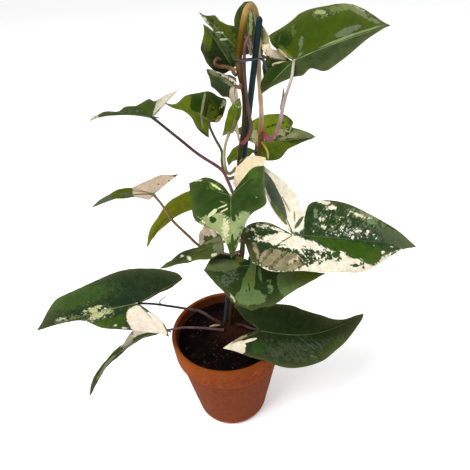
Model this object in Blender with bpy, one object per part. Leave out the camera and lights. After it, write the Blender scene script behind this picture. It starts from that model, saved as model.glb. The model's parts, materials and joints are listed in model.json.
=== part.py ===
"""A potted syngonium: a climbing arrowhead vine tied to a stake in a terracotta pot.

Every leaf is one solid, its blade grown together with its stalk. The origin is the
middle of the pot's flat foot, +X is the side of the largest leaf and +Y is the back.
Sizes in the tables are millimetres and degrees. Blender's units are metres.
"""

from dataclasses import dataclass

import bpy
import numpy as np

MM = 0.001

# The pot, turned about +Z.
FOOT_RADIUS = 42.5
RIM_RADIUS = 65.0
POT_HEIGHT = 126.0
COLLAR_HEIGHT = 28.0
COLLAR_STEP = 1.3
WALL = 4.5
FLOOR = 8.0
LIP = 1.6
FOOT_ROUNDING = 5.0
POT_SIDES = 56
DRAIN_RADIUS = 6.0
DRAIN_CIRCLE = 21.0
DRAIN_HOLES = 3

# What fills and stands in the pot.
SOIL_TOP = 115.0
SOIL_EDGE_DROP = 1.0
GAP = 0.35
STAKE_RADIUS = 2.6
STAKE_FOOT = (-13.6, 23.5, 40)
STAKE_TOP = (45, 15, 449)

# The foliage.
BLADE_THICKNESS = 0.6
MARGIN_SPACING = 11.0
SIDE_STEPS = (5, 10)
BACK_STEPS = (2, 4)
EAR_REACH = 30.0
CURL_REACH = 30.0

# Routes that stems follow, each point with the stem's radius there.
VINE = (
    (3, 17, 84, 2.2),
    (3, 17, 114, 2.3),
    (7.5, 14.5, 155, 2.3),
    (16, 13, 198, 2.4),
    (22, 12, 225, 2.8),
    (24, 12, 258, 2.2),
    (24, 11, 293, 2.6),
    (23, 11, 323, 2.2),
    (25, 10.5, 341, 2.2),
    (29, 10, 364, 2.2),
    (30.5, 9.5, 387, 2.2),
    (29, 8.5, 400, 2.3),
    (27, 8, 414, 2.9),
    (28, 8, 428, 2.4),
    (31, 9, 443, 2.4),
    (34, 11, 453, 2.4),
    (38, 14.5, 457, 2.3),
    (42, 19.5, 452.5, 2.2),
    (44, 22.5, 439, 2.1),
    (44, 24, 412, 2.1),
    (45, 25, 389, 2.1),
    (46, 26, 366, 2.3),
    (45.5, 26.5, 350, 3.0),
    (44, 27, 334, 2.2),
    (39, 27, 313, 2.0),
    (34, 27, 295, 1.2),
)
SIDE_STEM = (
    (9, 25, 84, 1.9),
    (9, 25, 114, 2.0),
    (14, 23, 149, 2.0),
    (22, 20.5, 180, 2.0),
    (29, 16.5, 205, 2.1),
    (31, 11, 217, 2.8),
    (31, 9, 221, 2.2),
)
AERIAL_ROOT = (
    (45.6, 23.2, 343, 1.0),
    (48, 20, 340, 1.0),
    (50.5, 18, 335, 1.0),
    (51, 19, 327, 0.8),
)
CURLED_SHEATH = (
    (23.2, 5.2, 412, 1.7),
    (16, 1, 416, 1.5),
    (10.5, -3, 417.5, 1.3),
    (7.5, -4.5, 420.5, 1.2),
    (10, -3.5, 423.5, 1.0),
    (13, -2, 422, 0.8),
)
TIE_RADIUS = 0.7
TWIST_TIE = (
    (51, 19.5, 407),
    (49.6, 19.2, 411),
    (48.2, 19.5, 416),
    (45.2, 13.5, 418.5),
    (35.5, 2.5, 419.5),
    (31, -1.2, 420),
    (26, 2.8, 420),
    (23.1, 8, 419.5),
    (25.6, 12.6, 418.5),
    (36, 22.3, 417),
    (41.3, 27.4, 416.5),
    (45, 28.6, 416),
    (47.8, 26.2, 414),
    (48.6, 23.5, 411),
    (48.8, 22.4, 408),
)


@dataclass
class Leaf:
    """One leaf. base is where the stalk meets the blade, tip is the blade's point.

    Margins are points (along, across) in the blade's own plane, from its base. Across
    is positive on the left, seen from above with the point ahead.
    """

    name: str
    base: tuple
    tip: tuple
    roll: float
    left: tuple
    left_ear: tuple
    left_back: tuple
    right: tuple
    right_ear: tuple
    right_back: tuple
    stalk: tuple
    fold: tuple = (8, 8)
    curl: tuple = (0, 0)
    arch: float = 15
    ear_droop: tuple = (0, 0)
    wave: tuple = (0.8, 7)
    sway: float = 0
    rings: int = 3
    stalk_radius: tuple = (1.7, 1.2)
    colour: str = "leaf_green"


LEAVES = (
    Leaf(
        "leaf_top_right", (71, 4, 417), (139, -14, 441), 42,
        left=((62, 17), (47, 33), (31, 38), (14, 41), (-5, 38)),
        left_ear=(-19, 36), left_back=((-17, 25), (-9, 11)),
        right=((59, -5), (31, -16), (21, -18), (12, -12), (4, -14), (-6, -12)),
        right_ear=(-35, -13), right_back=((-33, -5), (-23, 3), (-10, 3)),
        fold=(0, -20),
        stalk=((48.2, 23.6, 351), (52, 18.5, 347), (57, 14, 352), (61, 10, 366),
               (63, 4, 382), (65, -5, 396), (68, -7, 407), (71, 4, 417)),
        stalk_radius=(2.0, 1.1),
    ),
    Leaf(
        "leaf_big_right", (67, -45, 282), (183, -38, 256), 42,
        left=((101, 13), (77, 23), (52, 32), (34, 35), (16, 31), (7, 21), (4, 33), (-8, 48)),
        left_ear=(-29, 63), left_back=((-30, 47), (-18, 20)),
        right=((99, -7), (66, -28), (44, -32), (28, -33), (7, -33), (-20, -35)),
        right_ear=(-37, -27), right_back=((-44, 2), (-26, 10)),
        fold=(4, 8), arch=12,
        stalk=((33.8, 5.2, 222), (38, -12, 235), (52, -34, 259), (67, -45, 282)),
        stalk_radius=(2.0, 1.4), colour="leaf_variegated",
    ),
    Leaf(
        "leaf_heart", (14, -35, 319), (11, -68, 277), 0,
        left=((45, 5), (28, 11), (16, 18), (8, 30), (-4, 29)),
        left_ear=(-27, 29), left_back=((-24, 18), (-10, 6)),
        right=((41, -4), (31, -12), (26, -23), (20, -31), (6, -34)),
        right_ear=(-11, -36), right_back=((-17, -22), (-11, -9)),
        fold=(4, 4),
        stalk=((23.2, 7.6, 294), (20, -8, 300), (16, -22, 309), (14, -35, 319)),
        colour="leaf_variegated",
    ),
    Leaf(
        "leaf_below_heart", (34, -30, 240), (26, -84, 231), 0,
        left=((51, 9), (50, 17), (44, 26), (30, 42)),
        left_ear=(15, 65), left_back=((6, 42), (1, 18)),
        right=((49, -16), (40, -24), (31, -34)),
        right_ear=(13, -49), right_back=((-11, -41), (-12, -25), (-6, -9)),
        fold=(4, 4),
        stalk=((29.6, 5.2, 216), (29, -8, 224), (34, -30, 240)),
        colour="leaf_variegated",
    ),
    Leaf(
        "leaf_low_right", (37, -28, 148), (147, -30, 167), 32,
        left=((104, 2), (96, 3), (88, 5), (78, 10), (67, 18), (50, 27), (35, 33), (6, 33), (-10, 33)),
        left_ear=(-26, 32), left_back=((-14, 14),),
        right=((107, -6), (89, -17), (74, -23), (56, -30), (21, -36), (-9, -29), (-31, -18)),
        right_ear=(-43, -13), right_back=((-26, -5), (-12, -1)),
        fold=(4, 4), arch=-12, sway=-12,
        stalk=((12, 14, 116.6), (19, -2, 131), (27, -18, 142), (37, -28, 148)),
    ),
    Leaf(
        "leaf_low_left", (-97, 0, 173), (-207, -20, 160), -14,
        left=((95, 1), (81, 3), (60, 6), (39, 23), (19, 31), (-4, 39), (-19, 45)),
        left_ear=(-28, 52), left_back=((-25, 35), (-12, 14)),
        right=((94, -25), (80, -33), (42, -41), (8, -47), (-19, -43), (-43, -34), (-51, -29)),
        right_ear=(-54, -23), right_back=((-47, -18.5), (-38, -13), (-30, -9.5), (-12, -2.5)),
        fold=(4, 8),
        stalk=((-5, 15.4, 116.6), (-18, 11, 133), (-29, 8, 147), (-42, 4, 156),
               (-62, 2, 164), (-81, 1, 170), (-97, 0, 173)),
    ),
    Leaf(
        "leaf_hanging_left", (-71, 0, 128.4), (-160, -50, 82), 60,
        left=((107, 4), (97, 7.5), (88, 7.8), (69, 7), (59, 7), (52, 8), (44, 14), (33, 20)),
        left_ear=(18, 27), left_back=((8, 18), (1, 8)),
        right=((115, -2), (94, -4), (82, -6), (71, -6.5), (53, -9.5), (42, -8.5), (22, -6), (10, -7)),
        right_ear=(-3, -13), right_back=((-3, -6),),
        fold=(25, -10), arch=70, wave=(0.8, 6), rings=6,
        stalk=((-5, 6, 117), (-26, 5, 123), (-48, 3, 128), (-60, 1.5, 128.9), (-71, 0, 128.4)),
        stalk_radius=(1.6, 1.2), colour="leaf_variegated",
    ),
    Leaf(
        "leaf_high_left", (-47, -10, 383), (-93, -28, 389), 40,
        left=((44, 1.5), (36, 3), (30, 3.5), (26, 5), (22, 8), (16, 8), (12, 9), (5, 17.5), (-1, 17)),
        left_ear=(-13, 32), left_back=((-9.5, 20), (-6, 11)),
        right=((48, -5), (44, -7), (35, -5), (27, -6), (14, -8), (2, -9)),
        right_ear=(-7, -9), right_back=((-5, -4),),
        fold=(30, 40), arch=32,
        stalk=((21.4, 7.6, 301), (16, -10, 309), (13, -18, 322), (7, -22, 338), (-11, -20, 352),
               (-29, -16, 368), (-47, -10, 383)),
    ),
    Leaf(
        "leaf_mid_left", (-57, -10, 313), (-108, -30, 314), 50,
        left=((47, 4), (39, 6), (34, 10), (30, 11.5), (24, 10.5), (17, 9), (9, 17), (-3, 23)),
        left_ear=(-22, 25), left_back=((-17, 18), (-8, 8)),
        right=((48, -3), (40, -3.5), (30, -4), (21, -6), (16, -13)),
        right_ear=(2, -20), right_back=((-2, -11),),
        fold=(14, 10), arch=10, sway=6,
        stalk=((18.2, 11, 222), (-6, 10, 223), (-24, 8, 242), (-31, 5, 254), (-44, -2, 278),
               (-50, -7, 297), (-57, -10, 313)),
        colour="leaf_variegated",
    ),
    Leaf(
        "leaf_backlit_left", (-9, 16, 291), (-77, 5, 243), -25,
        left=((75, 2), (60, 5), (39, 8), (21, 9)),
        left_ear=(-4, 13), left_back=((-5, 7),),
        right=((70, -7), (57, -9.5), (40, -12), (27, -14.5), (11, -14)),
        right_ear=(-12, -10), right_back=((-8, -4),),
        sway=-12,
        stalk=((20.8, 12, 284), (6, 16, 287), (-9, 16, 291)),
    ),
    Leaf(
        "leaf_small_left", (3, -12, 257), (-60, -24, 237), -10,
        left=((36, 11), (20, 17)),
        left_ear=(2, 16), left_back=((1, 9),),
        right=((56, -4), (46, -6), (39, -6), (32, -5), (20, -5)),
        right_ear=(0, -11), right_back=((-1, -5),),
        stalk=((20.8, 8.8, 243), (12, -2, 250), (3, -12, 257)),
    ),
    Leaf(
        "leaf_cream_left", (-1, 3, 234), (-19, 1, 262), -50,
        left=((30, 9),),
        left_ear=(18, 13), left_back=((8, 6),),
        right=((32, -9),),
        right_ear=(11, -13), right_back=((5, -8),),
        arch=10,
        stalk=((19.4, 10.2, 228), (9, 6, 228), (-1, 3, 234)),
        stalk_radius=(1.4, 1.1), colour="leaf_variegated",
    ),
    Leaf(
        "leaf_bright_right", (41, 41, 335), (99, 33, 341), 72,
        left=((52, 5), (44, 9), (37, 12), (38, 17), (31, 24), (21, 26), (8, 25)),
        left_ear=(-20, 15), left_back=((-10, 6),),
        right=((47, -3), (38, -6), (31, -9), (24, -16), (16, -18)),
        right_ear=(5, -17), right_back=((-2, -10),),
        fold=(6, 6),
        stalk=((45.6, 30.4, 337), (45, 36, 334), (41, 41, 335)),
    ),
    Leaf(
        "leaf_upper_left", (-0.8, -1, 374), (-37, -8, 393), -50,
        left=((33, 3), (26, 3), (20.5, 5.5), (15, 8.5), (10, 13), (3, 16)),
        left_ear=(-1.5, 16), left_back=((-1.5, 8),),
        right=((34, -1), (30, -3), (26, -9), (21.5, -12.5), (15, -17), (7, -22), (-4, -24), (-11, -25),
               (-13, -17)),
        right_ear=(-13.5, -10.5), right_back=((-10, -3.5), (-4.5, -1.2)),
        arch=30, sway=-2,
        stalk=((20.2, 8.2, 316), (12, 2, 318), (8.5, 1, 327), (7.6, 0, 336), (8, 0, 346), (3, 2, 357),
               (-0.6, 2.5, 367), (-0.8, -1, 374)),
        stalk_radius=(1.5, 1.1),
    ),
    Leaf(
        "leaf_young", (16, -4, 364), (26, -8, 394), 75,
        left=((22, 5), (14, 6), (1, 6)),
        left_ear=(-7, 6), left_back=((-4, 3),),
        right=((23, -6), (13, -6)),
        right_ear=(1, -4), right_back=((0, -2),),
        fold=(10, 10), wave=(0.3, 7),
        stalk=((20.4, 7.8, 325), (14.5, -1, 324), (11, -5, 329), (10, -6, 342), (12, -6, 354), (16, -4, 364)),
        stalk_radius=(1.5, 1.2),
    ),
    Leaf(
        "leaf_curled", (23, -4, 402), (1, -14, 418), 40,
        left=((20, 2), (13, 4)),
        left_ear=(5, 7), left_back=((2, 4),),
        right=((17, -12), (9, -20), (-1, -21), (-6, -18)),
        right_ear=(-16, -24), right_back=((-11, -10),),
        stalk=((27.6, 5.2, 400), (26.5, 0, 399.5), (23, -4, 402)),
        stalk_radius=(1.4, 1.1), colour="leaf_variegated",
    ),
    Leaf(
        "leaf_cream_top", (53, 32, 415), (72, 22, 413), 48,
        left=((11, 6), (0, 9), (-6, 20)),
        left_ear=(-16, 30), left_back=((-13, 15),),
        right=((15, -5), (10, -13)),
        right_ear=(3, -19), right_back=((-2, -9),),
        arch=10,
        stalk=((27, 6.4, 349), (31.5, 4, 355), (35.2, 5, 364), (34, 4, 375), (32, 3, 392),
               (31, 2, 413), (32, 3, 429), (35.5, 7, 436), (37, 13, 434), (39, 25, 427),
               (43, 33, 421), (49, 34, 416), (53, 32, 415)),
        stalk_radius=(1.5, 1.1), colour="leaf_variegated",
    ),
    Leaf(
        "leaf_top_left", (27, 26, 424), (-3, 30, 453), -40,
        left=((35, 2), (25, 5), (18, 11), (9, 16)),
        left_ear=(-6, 9), left_back=((-4, 2),),
        right=((37, -1), (31, -8), (27, -6), (22, -8), (16, -12)),
        right_ear=(5, -18), right_back=((0, -9),),
        stalk=((28.6, 11.2, 427), (28, 19, 427), (27, 26, 424)),
        stalk_radius=(1.4, 1.1),
    ),
    Leaf(
        "leaf_top_back", (39, 57, 415), (36, 67, 456), 0,
        left=((38, 6), (34, 10), (27, 13), (15, 15)),
        left_ear=(1, 13), left_back=((-1, 6),),
        right=((41, -7), (36, -10), (28, -12), (19, -12), (8, -14)),
        right_ear=(-2, -12), right_back=((-2, -6),),
        fold=(12, 12),
        stalk=((31, 12.6, 437), (35, 28, 432), (39, 46, 417), (39, 57, 415)),
        stalk_radius=(1.4, 1.1),
    ),
    Leaf(
        "leaf_narrow_left", (22, 12, 412), (1, 8, 447), -65,
        left=((34, 8), (30, 16), (24, 17), (16, 19)),
        left_ear=(4, 12), left_back=((1, 5),),
        right=((36, -2), (26, -3), (12, -4)),
        right_ear=(3, -5), right_back=((0, -2),),
        stalk=((24.4, 10.4, 407), (22, 12.5, 409), (22, 12, 412)),
        stalk_radius=(1.2, 1.0),
    ),
    Leaf(
        "leaf_cream_middle", (20, -14, 315), (47, -5, 339), 45,
        left=((33, 7), (24, 14), (15, 14)),
        left_ear=(1, 6), left_back=((-1, 2),),
        right=((32, -3), (17, -3)),
        right_ear=(1, -3), right_back=((-1, -2),),
        arch=20, wave=(0.3, 7),
        stalk=((25, 7.4, 306), (23, -5, 308), (20, -14, 315)),
        stalk_radius=(1.4, 1.1), colour="leaf_cream",
    ),
    Leaf(
        "leaf_behind_stake", (27.5, 38, 331), (12.5, 30, 318), 0,
        left=((12, 6), (3, 18)),
        left_ear=(-5, 20), left_back=((-4, 6),),
        right=((14, -9), (5, -10)),
        right_ear=(-2, -10), right_back=((-2, -6),),
        stalk=((40.6, 29.8, 330), (35, 36, 331), (27.5, 38, 331)),
        stalk_radius=(1.3, 1.1),
    ),
)

# Colour, roughness and metallic value of each finish.
FINISHES = {
    "terracotta": ((0.36, 0.10, 0.035), 0.85, 0.0),
    "potting_soil": ((0.018, 0.012, 0.009), 0.95, 0.0),
    "stake_coating": ((0.008, 0.035, 0.035), 0.45, 0.0),
    "tie_plastic": ((0.02, 0.10, 0.09), 0.5, 0.0),
    "woody_stem": ((0.24, 0.13, 0.035), 0.55, 0.0),
    "leaf_green": ((0.03, 0.10, 0.02), 0.4, 0.0),
    "leaf_variegated": ((0.28, 0.36, 0.20), 0.4, 0.0),
    "leaf_cream": ((0.70, 0.60, 0.44), 0.45, 0.0),
    "aerial_root": ((0.42, 0.38, 0.05), 0.6, 0.0),
}


def clear_scene():
    for old in list(bpy.data.objects):
        bpy.data.objects.remove(old, do_unlink=True)


def finish(name):
    """The Principled material of that finish, made once."""
    known = bpy.data.materials.get(name)
    if known:
        return known
    colour, roughness, metallic = FINISHES[name]
    material = bpy.data.materials.new(name)
    material.use_nodes = True
    shader = material.node_tree.nodes["Principled BSDF"]
    shader.inputs["Base Color"].default_value = (*colour, 1.0)
    shader.inputs["Roughness"].default_value = roughness
    shader.inputs["Metallic"].default_value = metallic
    return material


def add_object(name, data, finish_name):
    made = bpy.data.objects.new(name, data)
    if finish_name:
        data.materials.append(finish(finish_name))
    bpy.context.scene.collection.objects.link(made)
    return made


def add_mesh(name, points, faces, finish_name):
    """An object from points in millimetres and faces as lists of point numbers."""
    mesh = bpy.data.meshes.new(name)
    mesh.from_pydata((np.asarray(points) * MM).tolist(), [], faces)
    mesh.validate()
    return add_object(name, mesh, finish_name)


def smooth_route(points, steps):
    """A Catmull-Rom curve through the points, read at even distances."""
    points = np.asarray(points, float)
    ends = (2 * points[0] - points[1], points, 2 * points[-1] - points[-2])
    held = np.vstack(ends)
    share = np.linspace(0, 1, 12, endpoint=False)[:, None]
    runs = []
    for before, start, end, after in zip(held, held[1:], held[2:], held[3:]):
        runs.append(
            start
            + 0.5 * share * (end - before)
            + share**2 * (before - 2.5 * start + 2 * end - 0.5 * after)
            + share**3 * 0.5 * (3 * (start - end) + after - before)
        )
    curve = np.vstack([*runs, points[-1:]])
    lengths = np.linalg.norm(np.diff(curve[:, :3], axis=0), axis=1)
    travelled = np.append(0, np.cumsum(lengths))
    wanted = np.linspace(0, travelled[-1], steps)
    columns = [np.interp(wanted, travelled, column) for column in curve.T]
    return np.stack(columns, axis=-1)


def tube_curve(name, route, finish_name, spacing, bevel_resolution=2):
    """A round stem along a route whose rows are x, y, z and radius."""
    reach = np.linalg.norm(np.diff(np.asarray(route, float)[:, :3], axis=0), axis=1).sum()
    points = smooth_route(route, max(4, round(reach / spacing)))
    data = bpy.data.curves.new(name, "CURVE")
    data.dimensions = "3D"
    data.bevel_depth = MM
    data.bevel_resolution = bevel_resolution
    data.use_fill_caps = True
    spline = data.splines.new("POLY")
    spline.points.add(len(points) - 1)
    for point, (x, y, z, radius) in zip(spline.points, points):
        point.co = (x * MM, y * MM, z * MM, 1.0)
        point.radius = radius
    return add_object(name, data, finish_name)


def as_closed_mesh(curve_object):
    """Swap a tube's curve for a mesh whose caps are welded to its sides."""
    graph = bpy.context.evaluated_depsgraph_get()
    mesh = bpy.data.meshes.new_from_object(curve_object.evaluated_get(graph))
    name = curve_object.name
    bpy.data.objects.remove(curve_object, do_unlink=True)
    tube = add_object(name, mesh, None)
    weld = tube.modifiers.new("weld_caps", "WELD")
    weld.merge_threshold = 1e-7
    return tube


def as_guide(tool):
    tool.hide_render = True
    tool.display_type = "WIRE"


def add_boolean(target, tool, operation):
    step = target.modifiers.new(f"{operation.lower()}_{tool.name}", "BOOLEAN")
    step.operation = operation
    step.solver = "EXACT"
    step.use_self = operation == "UNION"
    step.object = tool
    as_guide(tool)


def turned(name, profile, finish_name, sides):
    """A closed ring profile of (radius, height) turned about +Z, its ends on the axis."""
    ring = np.linspace(0, 2 * np.pi, sides, endpoint=False)
    points = []
    faces = []
    rows = []
    for radius, height in profile:
        if radius == 0:
            rows.append([len(points)] * sides)
            points.append((0, 0, height))
            continue
        rows.append(list(range(len(points), len(points) + sides)))
        points.extend((radius * np.cos(a), radius * np.sin(a), height) for a in ring)
    for upper, lower in zip(rows, rows[1:]):
        for i in range(sides):
            j = (i + 1) % sides
            corners = (upper[j], upper[i], lower[i], lower[j])
            faces.append(list(dict.fromkeys(corners)))
    return add_mesh(name, points, faces, finish_name)


def inner_radius(height):
    """The inside of the pot's wall, a straight taper from floor to rim."""
    share = (height - FLOOR) / (POT_HEIGHT - FLOOR)
    floor_radius = FOOT_RADIUS - WALL
    return floor_radius + share * (RIM_RADIUS - WALL - floor_radius)


def outer_radius(height):
    """The outside of the wall below the collar."""
    under_collar = RIM_RADIUS - 2 * COLLAR_STEP
    return FOOT_RADIUS + height / (POT_HEIGHT - COLLAR_HEIGHT) * (under_collar - 2 - FOOT_RADIUS)


def pot():
    """A tapered terracotta pot: collar band, rounded lip, flat foot, three drain holes."""
    step = POT_HEIGHT - COLLAR_HEIGHT
    profile = (
        (0, FLOOR),
        (inner_radius(FLOOR) - LIP, FLOOR),
        (inner_radius(FLOOR + LIP), FLOOR + LIP),
        (inner_radius(SOIL_TOP), SOIL_TOP),
        (inner_radius(POT_HEIGHT - LIP), POT_HEIGHT - LIP),
        (inner_radius(POT_HEIGHT) + LIP, POT_HEIGHT),
        (RIM_RADIUS - LIP, POT_HEIGHT),
        (RIM_RADIUS, POT_HEIGHT - LIP),
        (RIM_RADIUS - COLLAR_STEP, step + LIP),
        (RIM_RADIUS - COLLAR_STEP - LIP, step),
        (outer_radius(step), step - LIP),
        (outer_radius(FOOT_ROUNDING), FOOT_ROUNDING),
        (FOOT_RADIUS - 1.0, LIP),
        (FOOT_RADIUS - FOOT_ROUNDING, 0),
        (0, 0),
    )
    body = turned("pot", profile, "terracotta", POT_SIDES)
    for i in range(DRAIN_HOLES):
        turn = 2 * np.pi * (i + 0.25) / DRAIN_HOLES
        drill = turned(
            f"drain_drill_{i + 1}",
            ((0, FLOOR * 2), (DRAIN_RADIUS, FLOOR * 2), (DRAIN_RADIUS, -FLOOR), (0, -FLOOR)),
            None,
            16,
        )
        drill.location = (DRAIN_CIRCLE * np.cos(turn) * MM, DRAIN_CIRCLE * np.sin(turn) * MM, 0)
        add_boolean(body, drill, "DIFFERENCE")


def soil():
    """The root ball of potting soil, cut where the stake and two stems go in."""
    base = FLOOR + GAP
    profile = (
        (0, SOIL_TOP),
        (inner_radius(SOIL_TOP) * 0.6, SOIL_TOP),
        (inner_radius(SOIL_TOP) - GAP, SOIL_TOP - SOIL_EDGE_DROP),
        (inner_radius(base + LIP) - GAP - 0.4, base + LIP),
        (inner_radius(base) - LIP - 2 * GAP, base),
        (0, base),
    )
    ball = turned("soil", profile, "potting_soil", POT_SIDES)
    holes = {
        "stake_hole": [(*STAKE_FOOT, STAKE_RADIUS), (*STAKE_TOP, STAKE_RADIUS)],
        "vine_hole": list(VINE[:3]),
        "side_stem_hole": list(SIDE_STEM[:3]),
    }
    for name, route in holes.items():
        widened = [(x, y, z, radius + GAP) for x, y, z, radius in route]
        start = np.array(widened[0])
        below = start - (np.array(widened[1]) - start) * 0.02
        widened[0] = tuple(np.append(below[:3] - (0, 0, GAP), start[3]))
        drill = as_closed_mesh(tube_curve(name, widened, None, 12, 3))
        add_boolean(ball, drill, "DIFFERENCE")


def stake():
    """A coated stake with a round head, pushed into the soil beside the stems."""
    foot, top = np.array(STAKE_FOOT, float), np.array(STAKE_TOP, float)
    along = (top - foot) / np.linalg.norm(top - foot)
    length = np.linalg.norm(top - foot)
    taper = ((0, 0.35), (3, 1.0), (length - 2.2, 1.0), (length - 0.7, 0.78), (length, 0.3))
    route = [(*(foot + along * at), STAKE_RADIUS * share) for at, share in taper]
    data = bpy.data.curves.new("stake", "CURVE")
    data.dimensions = "3D"
    data.bevel_depth = MM
    data.bevel_resolution = 4
    data.use_fill_caps = True
    spline = data.splines.new("POLY")
    spline.points.add(len(route) - 1)
    for point, (x, y, z, radius) in zip(spline.points, route):
        point.co = (x * MM, y * MM, z * MM, 1.0)
        point.radius = radius
    add_object("stake", data, "stake_coating")


def margin(leaf):
    """The blade's edge as four smooth stretches that meet in the point and the ear tips."""
    chord = np.linalg.norm(np.subtract(leaf.tip, leaf.base))
    length = chord / np.sinc(np.radians(leaf.arch) / 2 / np.pi)
    base, point = (0, 0), (length, 0)
    stretches = (
        ((base, *leaf.right_back[::-1], leaf.right_ear), BACK_STEPS),
        ((leaf.right_ear, *leaf.right[::-1], point), SIDE_STEPS),
        ((point, *leaf.left, leaf.left_ear), SIDE_STEPS),
        ((leaf.left_ear, *leaf.left_back, base), BACK_STEPS),
    )
    edge = []
    for points, (fewest, most) in stretches:
        reach = np.linalg.norm(np.diff(points, axis=0), axis=1).sum()
        steps = int(np.clip(round(reach / MARGIN_SPACING), fewest, most))
        edge.append(smooth_route(points, steps + 1)[1:])
    return np.vstack(edge)[:-1], length


def bent(leaf, along, across, share, turn, length):
    """Points of the flat blade moved to where the leaf holds them.

    Each half is folded up from the midrib and curled, the ears droop behind the base,
    the edge waves, the midrib bows sideways, and the whole blade arches about the line
    across it. Then the chord from base to point is laid on the leaf's own direction and
    rolled about it.
    """
    half = np.radians(leaf.arch) / 2
    left = across >= 0
    fold = np.radians(np.where(left, *leaf.fold))
    curl = np.radians(np.where(left, *leaf.curl)) / CURL_REACH + 1e-6
    reach = np.abs(across)
    sideways = np.sign(across) * (np.sin(fold) - np.sin(fold - curl * reach)) / curl
    sideways = sideways + leaf.sway * np.sin(np.pi * np.clip(along / length, 0, 1))
    lift = (np.cos(fold - curl * reach) - np.cos(fold)) / curl
    lift -= np.where(left, *leaf.ear_droop) * (np.minimum(along, 0) / EAR_REACH) ** 2
    lift += leaf.wave[0] * share**2 * np.sin(2 * np.pi * leaf.wave[1] * turn)
    angle = np.radians(leaf.arch) * along / length + 1e-9
    forward = along * np.sin(angle) / angle + lift * np.sin(angle)
    height = lift * np.cos(angle) - along * (1 - np.cos(angle)) / angle
    forward, height = (
        forward * np.cos(half) - height * np.sin(half),
        forward * np.sin(half) + height * np.cos(half),
    )
    ahead = np.subtract(leaf.tip, leaf.base) / np.linalg.norm(np.subtract(leaf.tip, leaf.base))
    side = np.cross((0, 0, 1), ahead)
    side /= np.linalg.norm(side)
    up = np.cross(ahead, side)
    roll = np.radians(leaf.roll)
    rolled_side = side * np.cos(roll) + up * np.sin(roll)
    rolled_up = up * np.cos(roll) - side * np.sin(roll)
    return (
        np.array(leaf.base, float)
        + forward[..., None] * ahead
        + sideways[..., None] * rolled_side
        + height[..., None] * rolled_up
    )


def blade_sheet(leaf):
    """The blade as a fan of rings that shrink from the margin to the base."""
    edge, length = margin(leaf)
    share = np.linspace(0, 1, leaf.rings + 1)[1:, None]
    turn = np.linspace(0, 1, len(edge))[None, :]
    rings = bent(leaf, edge[:, 0] * share, edge[:, 1] * share, share, turn, length)
    points = np.vstack([[leaf.base], rings.reshape(-1, 3)])
    count = len(edge)
    faces = [[0, 1 + j, 2 + j] for j in range(count - 1)]
    for ring in range(leaf.rings - 1):
        inner = 1 + ring * count
        outer = inner + count
        faces += [[inner + j, outer + j, outer + j + 1, inner + j + 1] for j in range(count - 1)]
    return points, faces


def add_leaf(leaf):
    """A blade with its thickness, joined to its stalk."""
    points, faces = blade_sheet(leaf)
    blade = add_mesh(leaf.name, points, faces, leaf.colour)
    solid = blade.modifiers.new("blade_thickness", "SOLIDIFY")
    solid.thickness = BLADE_THICKNESS * MM
    solid.offset = 0
    start, end = leaf.stalk_radius
    radii = np.linspace(start, end, len(leaf.stalk))
    route = [(*point, radius) for point, radius in zip(leaf.stalk, radii)]
    stalk = as_closed_mesh(tube_curve(f"{leaf.name}_stalk", route, None, 9, 1))
    add_boolean(blade, stalk, "UNION")


def main():
    clear_scene()
    pot()
    soil()
    stake()
    tube_curve("main_vine", VINE, "woody_stem", 6)
    tube_curve("side_stem", SIDE_STEM, "woody_stem", 7)
    tube_curve("aerial_root", AERIAL_ROOT, "aerial_root", 3, 1)
    tube_curve("curled_sheath", CURLED_SHEATH, "woody_stem", 2.5, 1)
    tie_route = [(*point, TIE_RADIUS) for point in TWIST_TIE]
    tube_curve("twist_tie", tie_route, "tie_plastic", 2.5, 1)
    for leaf in LEAVES:
        add_leaf(leaf)


main()
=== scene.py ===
# %% [markdown]
# # A potted syngonium
# An arrowhead vine climbs a thin stake in a terracotta pot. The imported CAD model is
# the fixed frame: it says where each piece is and how large. Each piece here is a finer
# twin of one CAD node, made from the same measures, and takes that node's place.

# %% Load the frame
import json
from dataclasses import dataclass

import bpy
import numpy as np
from mathutils import Matrix

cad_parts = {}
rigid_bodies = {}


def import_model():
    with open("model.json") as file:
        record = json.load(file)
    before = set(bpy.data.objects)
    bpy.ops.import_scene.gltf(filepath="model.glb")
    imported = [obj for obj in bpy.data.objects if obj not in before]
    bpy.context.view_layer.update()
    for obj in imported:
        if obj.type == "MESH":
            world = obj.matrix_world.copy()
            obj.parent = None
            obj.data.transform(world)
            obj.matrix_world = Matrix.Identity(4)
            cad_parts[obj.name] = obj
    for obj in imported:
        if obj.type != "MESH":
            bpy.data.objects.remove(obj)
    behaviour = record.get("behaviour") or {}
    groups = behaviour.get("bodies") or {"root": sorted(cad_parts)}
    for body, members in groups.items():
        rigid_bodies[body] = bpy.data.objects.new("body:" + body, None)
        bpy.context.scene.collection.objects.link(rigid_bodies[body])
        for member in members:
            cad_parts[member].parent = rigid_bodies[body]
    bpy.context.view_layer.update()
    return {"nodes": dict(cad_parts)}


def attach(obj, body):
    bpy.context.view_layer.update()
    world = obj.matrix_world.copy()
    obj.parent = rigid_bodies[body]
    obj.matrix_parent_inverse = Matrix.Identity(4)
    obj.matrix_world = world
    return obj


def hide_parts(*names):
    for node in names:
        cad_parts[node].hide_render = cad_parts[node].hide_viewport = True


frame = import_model()
scene = bpy.context.scene
MM = 0.001

# %% [markdown]
# ## Camera
# The plant is seen from the front and about a third of the way up to overhead, from
# close by, so near leaves look larger. The view is built from its tilt and its small
# sideways lean, and the camera backs off from the point it aims at.

# %% Camera
TILT = np.radians(33.2)
LEAN = np.radians(-3.4)
AIM = np.array((0.0155, 0.0, 0.256))
DISTANCE = 0.422
SENSOR_WIDTH = 36
LENS = 32.17


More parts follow.
